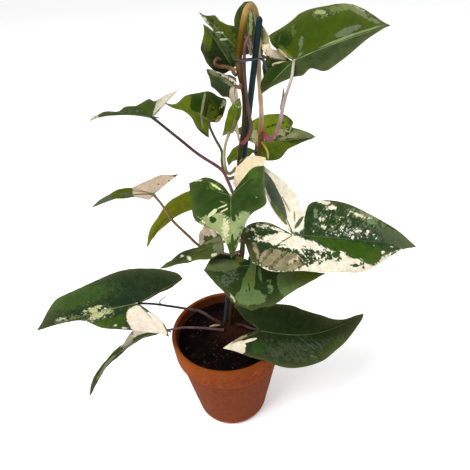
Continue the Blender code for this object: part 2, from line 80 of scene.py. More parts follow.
def facing(right, up, back, place):
    """The matrix of a camera or lamp: its own X, Y and Z directions, then its place."""
    turned = Matrix([*map(list, np.stack((right, up, back)).T)]).to_4x4()
    turned.translation = place
    return turned


forward = np.array((0, np.cos(TILT), -np.sin(TILT)))
level = np.array((1.0, 0, 0))
upward = np.cross(level, forward)
view_right = level * np.cos(LEAN) + upward * np.sin(LEAN)
view_up = upward * np.cos(LEAN) - level * np.sin(LEAN)
camera = bpy.data.objects.new("camera", bpy.data.cameras.new("camera"))
scene.collection.objects.link(camera)
camera.matrix_world = facing(view_right, view_up, -forward, AIM - forward * DISTANCE)
camera.data.sensor_width = SENSOR_WIDTH
camera.data.lens = LENS
camera.data.clip_start = 0.01
scene.camera = camera
print("camera at", [round(x, 3) for x in camera.matrix_world.translation])

# %% [markdown]
# ## Floor and light
# A plant like this is looked at on a white sweep. A curved backdrop would do, but a very
# wide flat floor under a white sky has no edge in any view. One broad lamp above the left
# shoulder gives leaves a soft sheen and the faint shadows that a studio has.

# %% Floor
FLOOR_REACH = 14.0
FLOOR_GLOW = 0.22


def new_material(name, roughness, specular):
    """A material with its Principled shader, whose fixed values are set on the shader."""
    material = bpy.data.materials.new(name)
    material.use_nodes = True
    shader = material.node_tree.nodes["Principled BSDF"]
    shader.inputs["Roughness"].default_value = roughness
    shader.inputs["Specular IOR Level"].default_value = specular
    return material, material.node_tree, shader


pale_floor, tree, shader = new_material("pale_floor", 0.8, 0.1)
shader.inputs["Base Color"].default_value = (0.95, 0.95, 0.955, 1)
shader.inputs["Emission Color"].default_value = (1, 1, 1, 1)
shader.inputs["Emission Strength"].default_value = FLOOR_GLOW
floor_mesh = bpy.data.meshes.new("floor")
corners = [(-1, -1), (1, -1), (1, 1), (-1, 1)]
floor_mesh.from_pydata([(x * FLOOR_REACH, y * FLOOR_REACH, 0) for x, y in corners], [], [(0, 1, 2, 3)])
floor_mesh.materials.append(pale_floor)
floor = bpy.data.objects.new("floor", floor_mesh)
scene.collection.objects.link(floor)
print("floor", 2 * FLOOR_REACH, "m wide")

# %% Light
SKY_STRENGTH = 0.74
KEY_PLACE = (-1.6, -1.1, 3.0)
KEY_SIZE = 1.8
KEY_POWER = 115
world = bpy.data.worlds.new("white_room")
world.use_nodes = True
sky = world.node_tree.nodes["Background"].inputs
sky["Color"].default_value = (1, 1, 1, 1)
sky["Strength"].default_value = SKY_STRENGTH
scene.world = world


def unit(vectors):
    """Each vector divided by its own length."""
    return vectors / np.maximum(np.linalg.norm(vectors, axis=-1, keepdims=True), 1e-12)


back = unit(np.array(KEY_PLACE) - AIM)
side = unit(np.cross((0, 0, 1), back))
lamp = bpy.data.objects.new("key_lamp", bpy.data.lights.new("key_lamp", "AREA"))
lamp.data.size = KEY_SIZE
lamp.data.energy = KEY_POWER
lamp.matrix_world = facing(side, np.cross(back, side), back, KEY_PLACE)
scene.collection.objects.link(lamp)
scene.view_settings.view_transform = "Standard"
print("lamp", round(np.linalg.norm(np.array(KEY_PLACE) - AIM), 2), "m from the plant's middle")

# %% [markdown]
# ## Shared shapes
# Most pieces are either a tube carried along a route or a curved sheet. They could be
# pushed and pulled by hand, but a grid worked out from a formula is smooth, even and easy
# to change. One helper joins a grid into faces and another makes the mesh and checks,
# from its signed volume, that the closed skin faces outwards.

# %% Smooth routes
def smooth_route(points, steps):
    """A Catmull-Rom curve through the points, read at even distances.

    Between two points it is the cubic that leaves each of them parallel to the line
    through the points before and after it.
    """
    points = np.asarray(points, float)
    held = np.vstack((2 * points[0] - points[1], points, 2 * points[-1] - points[-2]))
    share = np.linspace(0, 1, 12, endpoint=False)[:, None, None]
    before, start, end, after = held[:-3], held[1:-2], held[2:-1], held[3:]
    runs = (
        start
        + 0.5 * share * (end - before)
        + share**2 * (before - 2.5 * start + 2 * end - 0.5 * after)
        + share**3 * 0.5 * (3 * (start - end) + after - before)
    )
    curve = np.vstack((runs.transpose(1, 0, 2).reshape(-1, points.shape[1]), points[-1:]))
    lengths = np.linalg.norm(np.diff(curve[:, :3], axis=0), axis=1)
    travelled = np.append(0, np.cumsum(lengths))
    wanted = np.linspace(0, travelled[-1], steps)
    return np.stack([np.interp(wanted, travelled, column) for column in curve.T], axis=-1)


print("a bend through three corners:", smooth_route(((0, 0, 0), (5, 5, 0), (10, 0, 0)), 5)[1].round(2))

# %% Grids to meshes
def grid_faces(rows, columns, wrap=False):
    """Quads between neighbouring rows and columns; wrap joins the last column to the first."""
    row = np.arange(rows - 1)[:, None] * columns
    column = np.arange(columns if wrap else columns - 1)[None, :]
    beside = (column + 1) % columns
    quads = (row + column, row + beside, row + columns + beside, row + columns + column)
    return np.stack(quads, axis=-1).reshape(-1, 4)


def fan(ring, pole):
    """Triangles from a closed ring of point numbers to its pole."""
    return np.stack((ring, np.roll(ring, -1), np.full(len(ring), pole)), axis=-1)


def add_mesh(name, points, face_sets, smooth_below=50):
    """An object from points in millimetres and arrays of faces, facing outwards."""
    triangles = [np.vstack((f[:, :3], f[:, [0, 2, 3]])) if f.shape[1] == 4 else f for f in face_sets]
    corner = points[np.vstack(triangles)]
    volume = np.einsum("ij,ij->i", corner[:, 0], np.cross(corner[:, 1], corner[:, 2])).sum()
    if volume < 0:
        face_sets = [f[:, ::-1] for f in face_sets]
    loops = np.concatenate([f.ravel() for f in face_sets])
    sizes = np.concatenate([np.full(len(f), f.shape[1]) for f in face_sets])
    mesh = bpy.data.meshes.new(name)
    mesh.vertices.add(len(points))
    mesh.vertices.foreach_set("co", (points * MM).astype(np.float32).ravel())
    mesh.loops.add(len(loops))
    mesh.loops.foreach_set("vertex_index", loops.astype(np.int32))
    mesh.polygons.add(len(sizes))
    mesh.polygons.foreach_set("loop_start", (np.cumsum(sizes) - sizes).astype(np.int32))
    mesh.update(calc_edges=True)
    mesh.shade_smooth()
    mesh.set_sharp_from_angle(angle=np.radians(smooth_below))
    made = bpy.data.objects.new(name, mesh)
    scene.collection.objects.link(made)
    return made


print("a 3 by 4 grid:", len(grid_faces(3, 4)), "faces, or", len(grid_faces(3, 4, wrap=True)), "wrapped round")

# %% [markdown]
# ## What a piece carries
# A finish that follows the surface needs something to follow. Numbers and colours stored
# on the points do that, and so do flat UV places. Each finished piece is then handed to
# the frame: it rides the one body and stands for its CAD nodes.

# %% Values, places and hand-over
def put_values(piece, name, values):
    """Stores one number or one colour for each point as an attribute."""
    values = np.asarray(values, np.float32)
    kind = "FLOAT" if values.ndim == 1 else "FLOAT_COLOR"
    attribute = piece.data.attributes.new(name, kind, "POINT")
    if values.ndim == 1:
        attribute.data.foreach_set("value", values)
    else:
        full = np.ones((len(values), 4), np.float32)
        full[:, :3] = values
        attribute.data.foreach_set("color", full.ravel())


def put_uv(piece, name, values):
    """Stores a flat position for each point as a UV map."""
    layer = piece.data.uv_layers.new(name=name)
    corner = np.zeros(len(piece.data.loops), np.int32)
    piece.data.loops.foreach_get("vertex_index", corner)
    layer.data.foreach_set("uv", values[corner].astype(np.float32).ravel())


def settle(piece, material, slot, *nodes):
    """Gives a piece its material and the CAD nodes it stands for; slot is not used."""
    piece.data.materials.append(material)
    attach(piece, "root")
    if nodes:
        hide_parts(*nodes)


print("nodes to stand for:", ", ".join(sorted(frame["nodes"])[:6]), "and so on")

# %% [markdown]
# ## Smooth unevenness
# Nothing that grows or is thrown on a wheel is perfectly even. A noise texture could push
# the surface about, but a sum of slow waves in seeded random directions is as smooth,
# works on any points, and comes out the same on every run.

# %% Unevenness
WAVE_GAIN = 1.6


def uneven(places, scale, seed, waves=9):
    """A mean of sine waves of about that length, from about -1 to 1, at each place."""
    dice = np.random.default_rng(seed)
    ways = unit(dice.normal(size=(waves, places.shape[-1])))
    lengths = scale * dice.uniform(0.7, 1.5, waves)
    phase = dice.uniform(0, 2 * np.pi, waves)
    return np.sin(places @ (ways * (2 * np.pi / lengths)[:, None]).T + phase).mean(axis=-1) * WAVE_GAIN


print("unevenness along a line:", uneven(np.linspace((0, 0), (9, 0), 4), 10, 1).round(2))

# %% [markdown]
# ## Tubes
# Stems, stalks, the stake and the wire are all a round profile carried along a path. A
# curve with a bevel would make one too, but not with rings, ridges and a girth of its own
# at each place. The circles need a steady sideways direction. The way that the path bends
# least in is one that its tangent never comes close to, so every circle refers to it.

# %% A tube along a route
def path_frames(path):
    """The tangent, and two directions square to it, at each point of a path."""
    tangent = unit(np.gradient(path, axis=0))
    reference = np.linalg.svd(tangent, full_matrices=False)[2][-1]
    side = unit(np.cross(tangent, reference))
    return tangent, side, np.cross(side, tangent)


def tube(route, sides, spacing, relief=None):
    """Circles of the route's own radius about its path, closed by a pole at each end.

    A route's rows are x, y, z and radius. relief(along, around) adds to the radius.
    Returns points, faces and the share along for each point.
    """
    reach = np.linalg.norm(np.diff(np.asarray(route, float)[:, :3], axis=0), axis=1).sum()
    rows = smooth_route(route, max(6, round(reach / spacing)))
    path, radius = rows[:, :3], rows[:, 3]
    tangent, side, up = path_frames(path)
    around = np.linspace(0, 2 * np.pi, sides, endpoint=False)
    along = np.linspace(0, reach, len(path))
    girth = np.repeat(radius[:, None], sides, axis=1)
    if relief:
        girth = girth + relief(along[:, None], around[None, :])
    ring = side[:, None] * np.cos(around)[:, None] + up[:, None] * np.sin(around)[:, None]
    skin = path[:, None] + ring * girth[..., None]
    start = path[0] - tangent[0] * radius[0] * 0.5
    end = path[-1] + tangent[-1] * radius[-1] * 0.5
    points = np.vstack((skin.reshape(-1, 3), start, end))
    last = (len(path) - 1) * sides
    count = len(path) * sides
    faces = [
        grid_faces(len(path), sides, wrap=True),
        np.vstack((fan(np.arange(sides), count)[:, ::-1], fan(last + np.arange(sides), count + 1))),
    ]
    return points, faces, np.append(np.repeat(along / reach, sides), (0, 1))


def tinted(share, stops):
    """Colours read from listed stops (share along, (red, green, blue))."""
    at = [stop[0] for stop in stops]
    return np.stack([np.interp(share, at, [s[1][k] for s in stops]) for k in range(3)], axis=-1)


print("a short tube:", len(tube(((0, 0, 0, 1), (0, 1, 9, 1)), 8, 1.0)[0]), "points")

# %% [markdown]
# ## Shader helpers
# Materials are built from nodes. They could be wired by hand in the editor, but in code
# they can be read and repeated. These helpers place one node each and return its output,
# so that a material reads like a sum.

# %% Shader helpers
def put(tree, kind, inputs=(), **settings):
    """One shader node; inputs are pairs of socket name or number and value or output."""
    node = tree.nodes.new("ShaderNode" + kind)
    for key, value in settings.items():
        setattr(node, key, value)
    for key, value in inputs:
        if isinstance(value, bpy.types.NodeSocket):
            tree.links.new(value, node.inputs[key])
        else:
            node.inputs[key].default_value = value
    return node


def use_group(tree, group, inputs=()):
    """The outputs of a node group placed in this tree."""
    return put(tree, "Group", inputs, node_tree=group).outputs


def maths(tree, operation, *values):
    return put(tree, "Math", list(enumerate(values)), operation=operation).outputs[0]


def times(tree, first, second):
    return maths(tree, "MULTIPLY", first, second)


def plus(tree, first, second):
    return maths(tree, "ADD", first, second)


def across_axis(tree, x, y):
    """Distance from an upright axis: the root of x squared plus y squared."""
    return maths(tree, "SQRT", plus(tree, maths(tree, "POWER", x, 2.0), maths(tree, "POWER", y, 2.0)))


def step_up(tree, value, low, high):
    """Rises smoothly from 0 at low to 1 at high."""
    pairs = [("Value", value), ("From Min", low), ("From Max", high)]
    return put(tree, "MapRange", pairs, interpolation_type="SMOOTHSTEP").outputs[0]


def mix(tree, factor, first, second, blend="MIX"):
    """Colour first where factor is 0, and colour second, or the blend of both, where it is 1."""
    colours = [value if isinstance(value, bpy.types.NodeSocket) else (*value, 1) for value in (first, second)]
    pairs = [(0, factor), (6, colours[0]), (7, colours[1])]
    return put(tree, "Mix", pairs, data_type="RGBA", blend_type=blend).outputs[2]


def darker(tree, colour, by):
    """The colour multiplied, channel by channel."""
    return mix(tree, 1.0, colour, by, "MULTIPLY")


def layer(tree, colour, mask, share, tone):
    """The colour with a tone laid over it: mask times share says how much."""
    return mix(tree, times(tree, mask, share), colour, tone)


print("helpers for one node or two:", ", ".join(f.__name__ for f in (put, use_group, maths, mix, layer)))

# %% Shader patterns and finishes
def noise(tree, place, scale, detail, rough):
    pairs = [("Vector", place), ("Scale", scale), ("Detail", detail), ("Roughness", rough)]
    return put(tree, "TexNoise", pairs).outputs["Fac"]


def stored(tree, label, out="Color"):
    """A colour or, with out="Fac", a number that the piece's points carry."""
    return put(tree, "Attribute", attribute_name=label).outputs[out]


def object_place(tree):
    return put(tree, "TexCoord").outputs["Object"]


def object_axes(tree):
    """The X, Y and Z outputs of the place on the object, in metres."""
    return put(tree, "SeparateXYZ", [(0, object_place(tree))]).outputs


def bump(tree, shader, height, strength, distance):
    """Fine relief in the shading; distance is its full height in metres."""
    pairs = [("Height", height), ("Strength", strength), ("Distance", distance)]
    tree.links.new(put(tree, "Bump", pairs).outputs[0], shader.inputs["Normal"])


def new_group(name, inputs, outputs):
    """A shader node group with named number inputs and outputs."""
    group = bpy.data.node_groups.new(name, "ShaderNodeTree")
    for label, value in inputs:
        socket = group.interface.new_socket(label, in_out="INPUT", socket_type="NodeSocketFloat")
        socket.default_value = value
    for label in outputs:
        group.interface.new_socket(label, in_out="OUTPUT", socket_type="NodeSocketFloat")
    return group, group.nodes.new("NodeGroupInput").outputs, group.nodes.new("NodeGroupOutput").inputs


print("materials so far:", len(bpy.data.materials))

# %% [markdown]
# ## Grain
# Clay, soil, bark and skin all have a fine grain under their broader blotches. Each
# material could have noise of its own, but one group makes both from the piece's own
# coordinates, and each material only sets their sizes, in millimetres.

# %% Grain group
grain, g_in, g_out = new_group(
    "grain", [("Blotch Size", 20.0), ("Grain Size", 2.0), ("Stretch", 1.0)], ["Blotches", "Grain", "Specks"]
)
place = object_place(grain)
tall = put(grain, "CombineXYZ", [(0, 1.0), (1, 1.0), (2, g_in["Stretch"])]).outputs[0]
lengthened = put(grain, "VectorMath", [(0, place), (1, tall)], operation="MULTIPLY").outputs[0]
broad = noise(grain, lengthened, maths(grain, "DIVIDE", 1 / MM, g_in["Blotch Size"]), 4.0, 0.6)
fine = noise(grain, lengthened, maths(grain, "DIVIDE", 1 / MM, g_in["Grain Size"]), 3.0, 0.6)
pit_scale = maths(grain, "DIVIDE", 0.5 / MM, g_in["Grain Size"])
pits = put(grain, "TexVoronoi", [("Vector", place), ("Scale", pit_scale)]).outputs["Distance"]
grain.links.new(step_up(grain, broad, 0.35, 0.65), g_out["Blotches"])
grain.links.new(fine, g_out["Grain"])
grain.links.new(step_up(grain, pits, 0.22, 0.08), g_out["Specks"])
print("grain group:", len(grain.nodes), "nodes")

# %% [markdown]
# ## The pot
# A nursery pot is pressed or thrown from red clay and fired unglazed. Its collar is a
# thicker band under the rim. It could be a cylinder that is tapered and hollowed, but one
# profile line, inside and out, turned about the upright axis, gives every rounding. The
# slight wobble is one that a perfect lathe would not leave.

# %% Pot measures
FOOT_RADIUS = 42.5
RIM_RADIUS = 65.0
POT_HEIGHT = 126.0
COLLAR_HEIGHT = 28.0
COLLAR_STEP = 1.3
WALL = 4.5
FLOOR = 8.0
FOOT_ROUNDING = 5.0
SOIL_TOP = 115.0
POT_SIDES = 288
PROFILE_SPACING = 1.6


def inner_radius(height):
    """The inside of the wall, a straight taper from floor to rim."""
    share = (height - FLOOR) / (POT_HEIGHT - FLOOR)
    floor_radius = FOOT_RADIUS - WALL
    return floor_radius + share * (RIM_RADIUS - WALL - floor_radius)


def outer_radius(height):
    """The outside of the wall below the collar."""
    slope = (RIM_RADIUS - 2 * COLLAR_STEP - 2 - FOOT_RADIUS) / (POT_HEIGHT - COLLAR_HEIGHT)
    return FOOT_RADIUS + height * slope


print("inside of the wall at the soil:", round(inner_radius(SOIL_TOP), 1), "mm from the axis")

# %% Pot shape
def even_line(points, spacing):
    """Straight runs between corners, read every few millimetres and at each corner."""
    points = np.asarray(points, float)
    runs = []
    for a, b in zip(points, points[1:]):
        steps = max(2, round(np.linalg.norm(b - a) / spacing))
        runs.append(a + (b - a) * np.linspace(0, 1, steps, endpoint=False)[:, None])
    return np.vstack([*runs, points[-1:]])


def lathe(profile, sides, offset):
    """A profile of (radius, height) turned about +Z; offset(points) is added outwards."""
    turn = np.linspace(0, 2 * np.pi, sides, endpoint=False)
    radius, height = profile[1:-1, 0:1], profile[1:-1, 1:2]
    flat = np.stack((np.cos(turn), np.sin(turn), np.zeros(sides)), axis=-1)
    points = flat[None] * radius[..., None] + np.array((0, 0, 1.0)) * height[..., None]
    points = points + flat[None] * (offset(points) * np.minimum(radius / 8, 1))[..., None]
    rows = len(radius)
    ends = [(0, 0, profile[0, 1]), (0, 0, profile[-1, 1])]
    stacked = np.vstack((points.reshape(-1, 3), ends))
    first, last = np.arange(sides), (rows - 1) * sides + np.arange(sides)
    caps = np.vstack((fan(first, rows * sides)[:, ::-1], fan(last, rows * sides + 1)))
    return stacked, [grid_faces(rows, sides, wrap=True), caps]


collar_foot = POT_HEIGHT - COLLAR_HEIGHT
rim_middle = (inner_radius(POT_HEIGHT) + RIM_RADIUS) / 2
POT_PROFILE = (
    (0, FLOOR),
    (inner_radius(FLOOR) - 2.5, FLOOR),
    (inner_radius(FLOOR) - 0.6, FLOOR + 0.6),
    (inner_radius(FLOOR + 2.5), FLOOR + 2.5),
    (inner_radius(SOIL_TOP), SOIL_TOP),
    (inner_radius(POT_HEIGHT - 2), POT_HEIGHT - 2),
    (inner_radius(POT_HEIGHT) + 0.4, POT_HEIGHT - 0.5),
    (rim_middle - 0.6, POT_HEIGHT),
    (rim_middle + 0.7, POT_HEIGHT),
    (RIM_RADIUS - 0.5, POT_HEIGHT - 0.6),
    (RIM_RADIUS, POT_HEIGHT - 2.2),
    (RIM_RADIUS - COLLAR_STEP, collar_foot + 2.6),
    (RIM_RADIUS - COLLAR_STEP - 0.6, collar_foot + 0.9),
    (outer_radius(collar_foot) + 0.5, collar_foot - 1.8),
    (outer_radius(collar_foot - 5), collar_foot - 5),
    (outer_radius(FOOT_ROUNDING), FOOT_ROUNDING),
    (FOOT_RADIUS - 1.0, 1.6),
    (FOOT_RADIUS - 2.6, 0.4),
    (FOOT_RADIUS - 4.6, 0),
    (0, 0),
)


def clay_offset(points):
    """Slow wobble of the whole wall plus faint turning rings; none near the flat foot."""
    wobble = 0.22 * uneven(points, 60, 1) + 0.07 * uneven(points, 9, 2)
    rings = 0.035 * np.sin(points[..., 2] * 2 * np.pi / 1.9)
    return (wobble + rings) * np.clip(points[..., 2] / 6, 0, 1)


pot_points, pot_faces = lathe(even_line(POT_PROFILE, PROFILE_SPACING), POT_SIDES, clay_offset)
pot = add_mesh("terracotta_pot", pot_points, pot_faces, 35)
print("pot:", len(pot.data.polygons), "faces")

# %% [markdown]
# ## Drain holes
# Water must leave the pot, so a potter cuts holes in the floor before firing. The floor's
# grid could be built round them, but drills that are taken away from the finished pot cut
# clean round walls, and the rest of the pot keeps its even grid.

# %% Drain holes
DRAIN_HOLES = 3
DRAIN_RADIUS = 6.0
DRAIN_CIRCLE = 21.0
DRILL_ENDS = (-9, 17)
low, high = DRILL_ENDS
drill_line = np.array(((0, low), (DRAIN_RADIUS, low), (DRAIN_RADIUS, high), (0, high)), float)
drills = []
for i in range(DRAIN_HOLES):
    angle = 2 * np.pi * (i + 0.25) / DRAIN_HOLES
    points, faces = lathe(drill_line, 40, lambda p: np.zeros(p.shape[:2]))
    points += (DRAIN_CIRCLE * np.cos(angle), DRAIN_CIRCLE * np.sin(angle), 0)
    drills.append(add_mesh(f"drain_drill_{i + 1}", points, faces))
    hole = pot.modifiers.new(f"drain_hole_{i + 1}", "BOOLEAN")
    hole.operation = "DIFFERENCE"
    hole.object = drills[-1]
graph = bpy.context.evaluated_depsgraph_get()
drilled = bpy.data.meshes.new_from_object(pot.evaluated_get(graph))
pot.modifiers.clear()
pot.data = drilled
for drill in drills:
    bpy.data.objects.remove(drill, do_unlink=True)
print("drilled pot:", len(pot.data.polygons), "faces")

# %% [markdown]
# ## Terracotta
# Fired clay is matt and mottled: brick red where the fire was hottest, orange where it
# was not, with dark iron specks and a pale bloom of dried salts. The rim is cleaner and
# more orange. Light and shade are painted on too: the left side, towards the lamp, is
# painted lighter, the wall under the collar is painted lighter to lift its shade, and the
# foot is painted dark as shadow at the floor. The clay inside the wall is darker. A painted
# map could show all that, but masks from the clay's own height and grain have no seam.

# %% Terracotta material
terracotta, tree, shader = new_material("terracotta_clay", 0.85, 0.02)
clay = use_group(tree, grain, [("Blotch Size", 26.0), ("Grain Size", 1.5)])
cloud = use_group(tree, grain, [("Blotch Size", 75.0), ("Grain Size", 5.0)])
mottle = use_group(tree, grain, [("Blotch Size", 5.0), ("Grain Size", 2.2)])
place = object_axes(tree)
smear = times(tree, maths(tree, "SUBTRACT", cloud["Grain"], 0.5), 0.012)
rim = step_up(tree, plus(tree, place["Z"], smear), 0.1195, 0.1235)
# painted light: the left side of the pot, towards the lamp, is painted lighter
painted_light_left = step_up(tree, place["X"], 0.03, -0.07)
# painted light: the wall under the collar slopes away from the light and is painted lighter to lift its shade
painted_light_below_collar = times(tree, step_up(tree, place["Z"], 0.1, 0.09), step_up(tree, cloud["Grain"], -0.4, 0.9))
# painted shadow: the last few millimetres above the floor are painted nearly black
foot = step_up(tree, place["Z"], 0.014, 0.002)
bloom = step_up(tree, cloud["Grain"], 0.62, 0.8)
# the clay inside the wall, above the pot's floor, is painted darker
off_wall = step_up(tree, across_axis(tree, place["X"], place["Y"]), 0.0609, 0.0600)
inside = times(tree, off_wall, step_up(tree, place["Z"], 0.008, 0.010))
colour = mix(tree, cloud["Blotches"], (0.17, 0.032, 0.009), (0.24, 0.052, 0.012))
for mask, share, tone in (
    (clay["Blotches"], 0.45, (0.12, 0.022, 0.009)),
    (mottle["Blotches"], 0.35, (0.26, 0.068, 0.016)),
    (rim, 0.7, (0.17, 0.040, 0.005)),
    (painted_light_left, 0.35, (0.25, 0.064, 0.012)),
    (painted_light_below_collar, 0.85, (0.62, 0.135, 0.042)),
    (foot, 0.85, (0.03, 0.008, 0.004)),
    (clay["Specks"], 0.5, (0.06, 0.018, 0.010)),
    (bloom, 0.25, (0.55, 0.33, 0.22)),
    (inside, 0.75, (0.045, 0.014, 0.007)),
):
    colour = layer(tree, colour, mask, share, tone)
tree.links.new(colour, shader.inputs["Base Color"])
tree.links.new(step_up(tree, clay["Grain"], -0.4, 1.0), shader.inputs["Roughness"])
relief = plus(tree, clay["Grain"], times(tree, clay["Specks"], -0.4))
bump(tree, shader, relief, 0.35, 0.0006)
settle(pot, terracotta, "terracotta", "pot")
print("terracotta:", len(tree.nodes), "nodes")

# %% [markdown]
# ## The soil
# Peat with bark crumbs, watered and sunk a little below the rim. A flat disc would be
# enough from above, but the root ball is a body that fills the pot and comes out with the
# plant. So rings of points spread from the middle over the lumpy top and go on down the
# wall to the floor, as one closed skin.

# %% Soil shape
GAP = 0.35
SOIL_RINGS = 72
SOIL_SIDES = 260
SIDE_ROWS = 14
soil_foot = FLOOR + GAP


def soil_height(places):
    """The top of the soil at each (x, y): three sizes of lump and a heap exp(-d**2) round
    the stems, all half worn away at the wall."""
    radius = np.linalg.norm(places, axis=-1)
    lumps = 1.1 * uneven(places, 17, 11) + 0.7 * uneven(places, 6, 12, 14) + 0.5 * uneven(places, 2.6, 13, 18)
    heap = 2.0 * np.exp(-(((places - (6, 15)) ** 2).sum(axis=-1)) / 300)
    worn = 1 - np.clip(radius / inner_radius(SOIL_TOP), 0, 1) ** 6 * 0.5
    return SOIL_TOP - 0.6 + (lumps + heap) * worn


top_radius = np.linspace(0.6, inner_radius(SOIL_TOP) - GAP, SOIL_RINGS)
side_height = np.linspace(SOIL_TOP - 2, soil_foot, SIDE_ROWS)
soil_radius = np.concatenate((top_radius, inner_radius(side_height) - GAP - 0.2))
turn = np.linspace(0, 2 * np.pi, SOIL_SIDES, endpoint=False)
flat = soil_radius[:, None, None] * np.stack((np.cos(turn), np.sin(turn)), axis=-1)[None]
rise = np.vstack((soil_height(flat[:SOIL_RINGS]), np.repeat(side_height[:, None], SOIL_SIDES, axis=1)))
skin = np.dstack((flat, rise)).reshape(-1, 3)
poles = [(0, 0, soil_height(np.zeros((1, 2)))[0]), (0, 0, soil_foot)]
count = len(skin)
ring = np.arange(SOIL_SIDES)
caps = np.vstack((fan(ring, count)[:, ::-1], fan(count - SOIL_SIDES + ring, count + 1)))
walls = grid_faces(len(soil_radius), SOIL_SIDES, wrap=True)
soil = add_mesh("potting_soil", np.vstack((skin, poles)), [walls, caps], 70)
print("soil:", len(soil.data.polygons), "faces")

# %% [markdown]
# ## Loose crumbs
# Peat crumbs, flat bits of bark and a little pale grit lie on the soil. A particle system
# could throw them, but it would be lost when the model leaves Blender. One array holds
# them all, each a ball of few faces that is squashed, turned and set on the lumps.

# %% Loose crumbs
CRUMB_REACH = 0.97
CRUMB_KEEP_OFF = 3.0


def crumb_shape():
    """A ball of 18 points and 32 faces: an octahedron with each edge split once."""
    ends = np.array([(1, 0, 0), (-1, 0, 0), (0, 1, 0), (0, -1, 0), (0, 0, 1), (0, 0, -1)], float)
    faces = np.array([(0, 2, 4), (2, 1, 4), (1, 3, 4), (3, 0, 4), (2, 0, 5), (1, 2, 5), (3, 1, 5), (0, 3, 5)])
    pairs = np.sort(np.vstack((faces[:, [0, 1]], faces[:, [1, 2]], faces[:, [2, 0]])), axis=1)
    edges, index = np.unique(pairs, axis=0, return_inverse=True)
    a, b, c = index.reshape(3, -1) + 6
    points = unit(np.vstack((ends, ends[edges].mean(axis=1))))
    i, j, k = faces.T
    split = np.vstack([np.stack(t, axis=-1) for t in ((i, a, c), (a, j, b), (c, b, k), (a, b, c))])
    return points, split


def scatter(name, amount, size, squash, seed):
    """Many crumbs of differing size and lump, thrown on the soil inside the wall.

    The root of an even draw, times the reach, spreads them evenly over the disc.
    """
    dice = np.random.default_rng(seed)
    ball, faces = crumb_shape()
    angle = dice.uniform(0, 2 * np.pi, amount)
    away = np.sqrt(dice.uniform(0, 1, amount)) * (inner_radius(SOIL_TOP) - CRUMB_KEEP_OFF) * CRUMB_REACH
    places = np.stack((away * np.cos(angle), away * np.sin(angle)), axis=-1)
    scale = size * dice.uniform(0.45, 1.3, (amount, 1, 1)) * dice.uniform(0.6, 1.3, (amount, 1, 3))
    lump = 1 + 0.22 * dice.normal(size=(amount, len(ball), 1))
    shape = ball[None] * scale * lump * (1, 1, squash)
    yaw = dice.uniform(0, 2 * np.pi, amount)
    tip = dice.normal(0, 0.5, amount)
    x = shape[..., 0] * np.cos(yaw)[:, None] - shape[..., 1] * np.sin(yaw)[:, None]
    y = shape[..., 0] * np.sin(yaw)[:, None] + shape[..., 1] * np.cos(yaw)[:, None]
    z = shape[..., 2] * np.cos(tip)[:, None] + x * np.sin(tip)[:, None]
    lift = soil_height(places) + size * squash * 0.25
    points = np.stack((x + places[:, :1], y + places[:, 1:], z + lift[:, None]), axis=-1)
    all_faces = (faces[None] + (np.arange(amount) * len(ball))[:, None, None]).reshape(-1, 3)
    piece = add_mesh(name, points.reshape(-1, 3), [all_faces], 40)
    put_values(piece, "tone", np.repeat(dice.uniform(0, 1, amount), len(ball)))
    return piece


crumbs = scatter("soil_crumbs", 1500, 0.95, 0.8, 21)
bark = scatter("bark_bits", 80, 1.4, 0.4, 22)
grit = scatter("pale_grit", 34, 0.65, 0.9, 23)
print("crumbs, bark and grit:", [len(piece.data.polygons) for piece in (crumbs, bark, grit)], "faces")

# %% [markdown]
# ## Soil colours
# Wet peat is nearly black, and it reddens round the stems, where the fibres are coarser.
# Each kind of crumb could have its own pattern, but they are all old plant matter. So one
# function makes their materials, and each crumb carries its own tone from dark to light.

# %% Soil materials
STEM_PLACE = (0.010, 0.012)


def soil_material(name, dark, light, roughness=0.9):
    """Dark to light by blotches and by the crumb's own tone, warmer near the stems."""
    material, tree, shader = new_material(name, roughness, 0.02)
    crumb = use_group(tree, grain, [("Blotch Size", 9.0), ("Grain Size", 0.9)])
    place = object_axes(tree)
    off_x, off_y = (maths(tree, "SUBTRACT", place[k], STEM_PLACE[k]) for k in range(2))
    warm = step_up(tree, across_axis(tree, off_x, off_y), 0.042, 0.006)
    tone = plus(tree, stored(tree, "tone", "Fac"), crumb["Blotches"])
    colour = mix(tree, times(tree, tone, 0.5), dark, light)
    colour = layer(tree, colour, warm, 0.45, (0.050, 0.016, 0.008))
    colour = layer(tree, colour, crumb["Specks"], 0.25, (0.09, 0.065, 0.045))
    tree.links.new(colour, shader.inputs["Base Color"])
    bump(tree, shader, crumb["Grain"], 0.6, 0.0008)
    return material


peat = soil_material("damp_peat", (0.002, 0.0012, 0.001), (0.009, 0.0045, 0.0035))
bark_brown = soil_material("bark_brown", (0.010, 0.005, 0.003), (0.050, 0.024, 0.013))
grit_grey = soil_material("pale_grit", (0.06, 0.045, 0.035), (0.17, 0.14, 0.11), 0.8)
settle(soil, peat, "potting_soil", "soil")
settle(crumbs, peat, "potting_soil")
settle(bark, bark_brown, "potting_soil")
settle(grit, grit_grey, "potting_soil")
print("soil settled in the pot, top at", round(max(v.co.z for v in soil.data.vertices) / MM), "mm")

# %% [markdown]
# ## Stake and wire
# The stake is a thin steel rod with a green-blue plastic coat and a rounded head, and a
# plastic-coated wire holds the vine to it. A plain cylinder would look too perfect. As a
# tube with faint drawing lines and a rounded end, the rod catches the light as drawn
# plastic does.

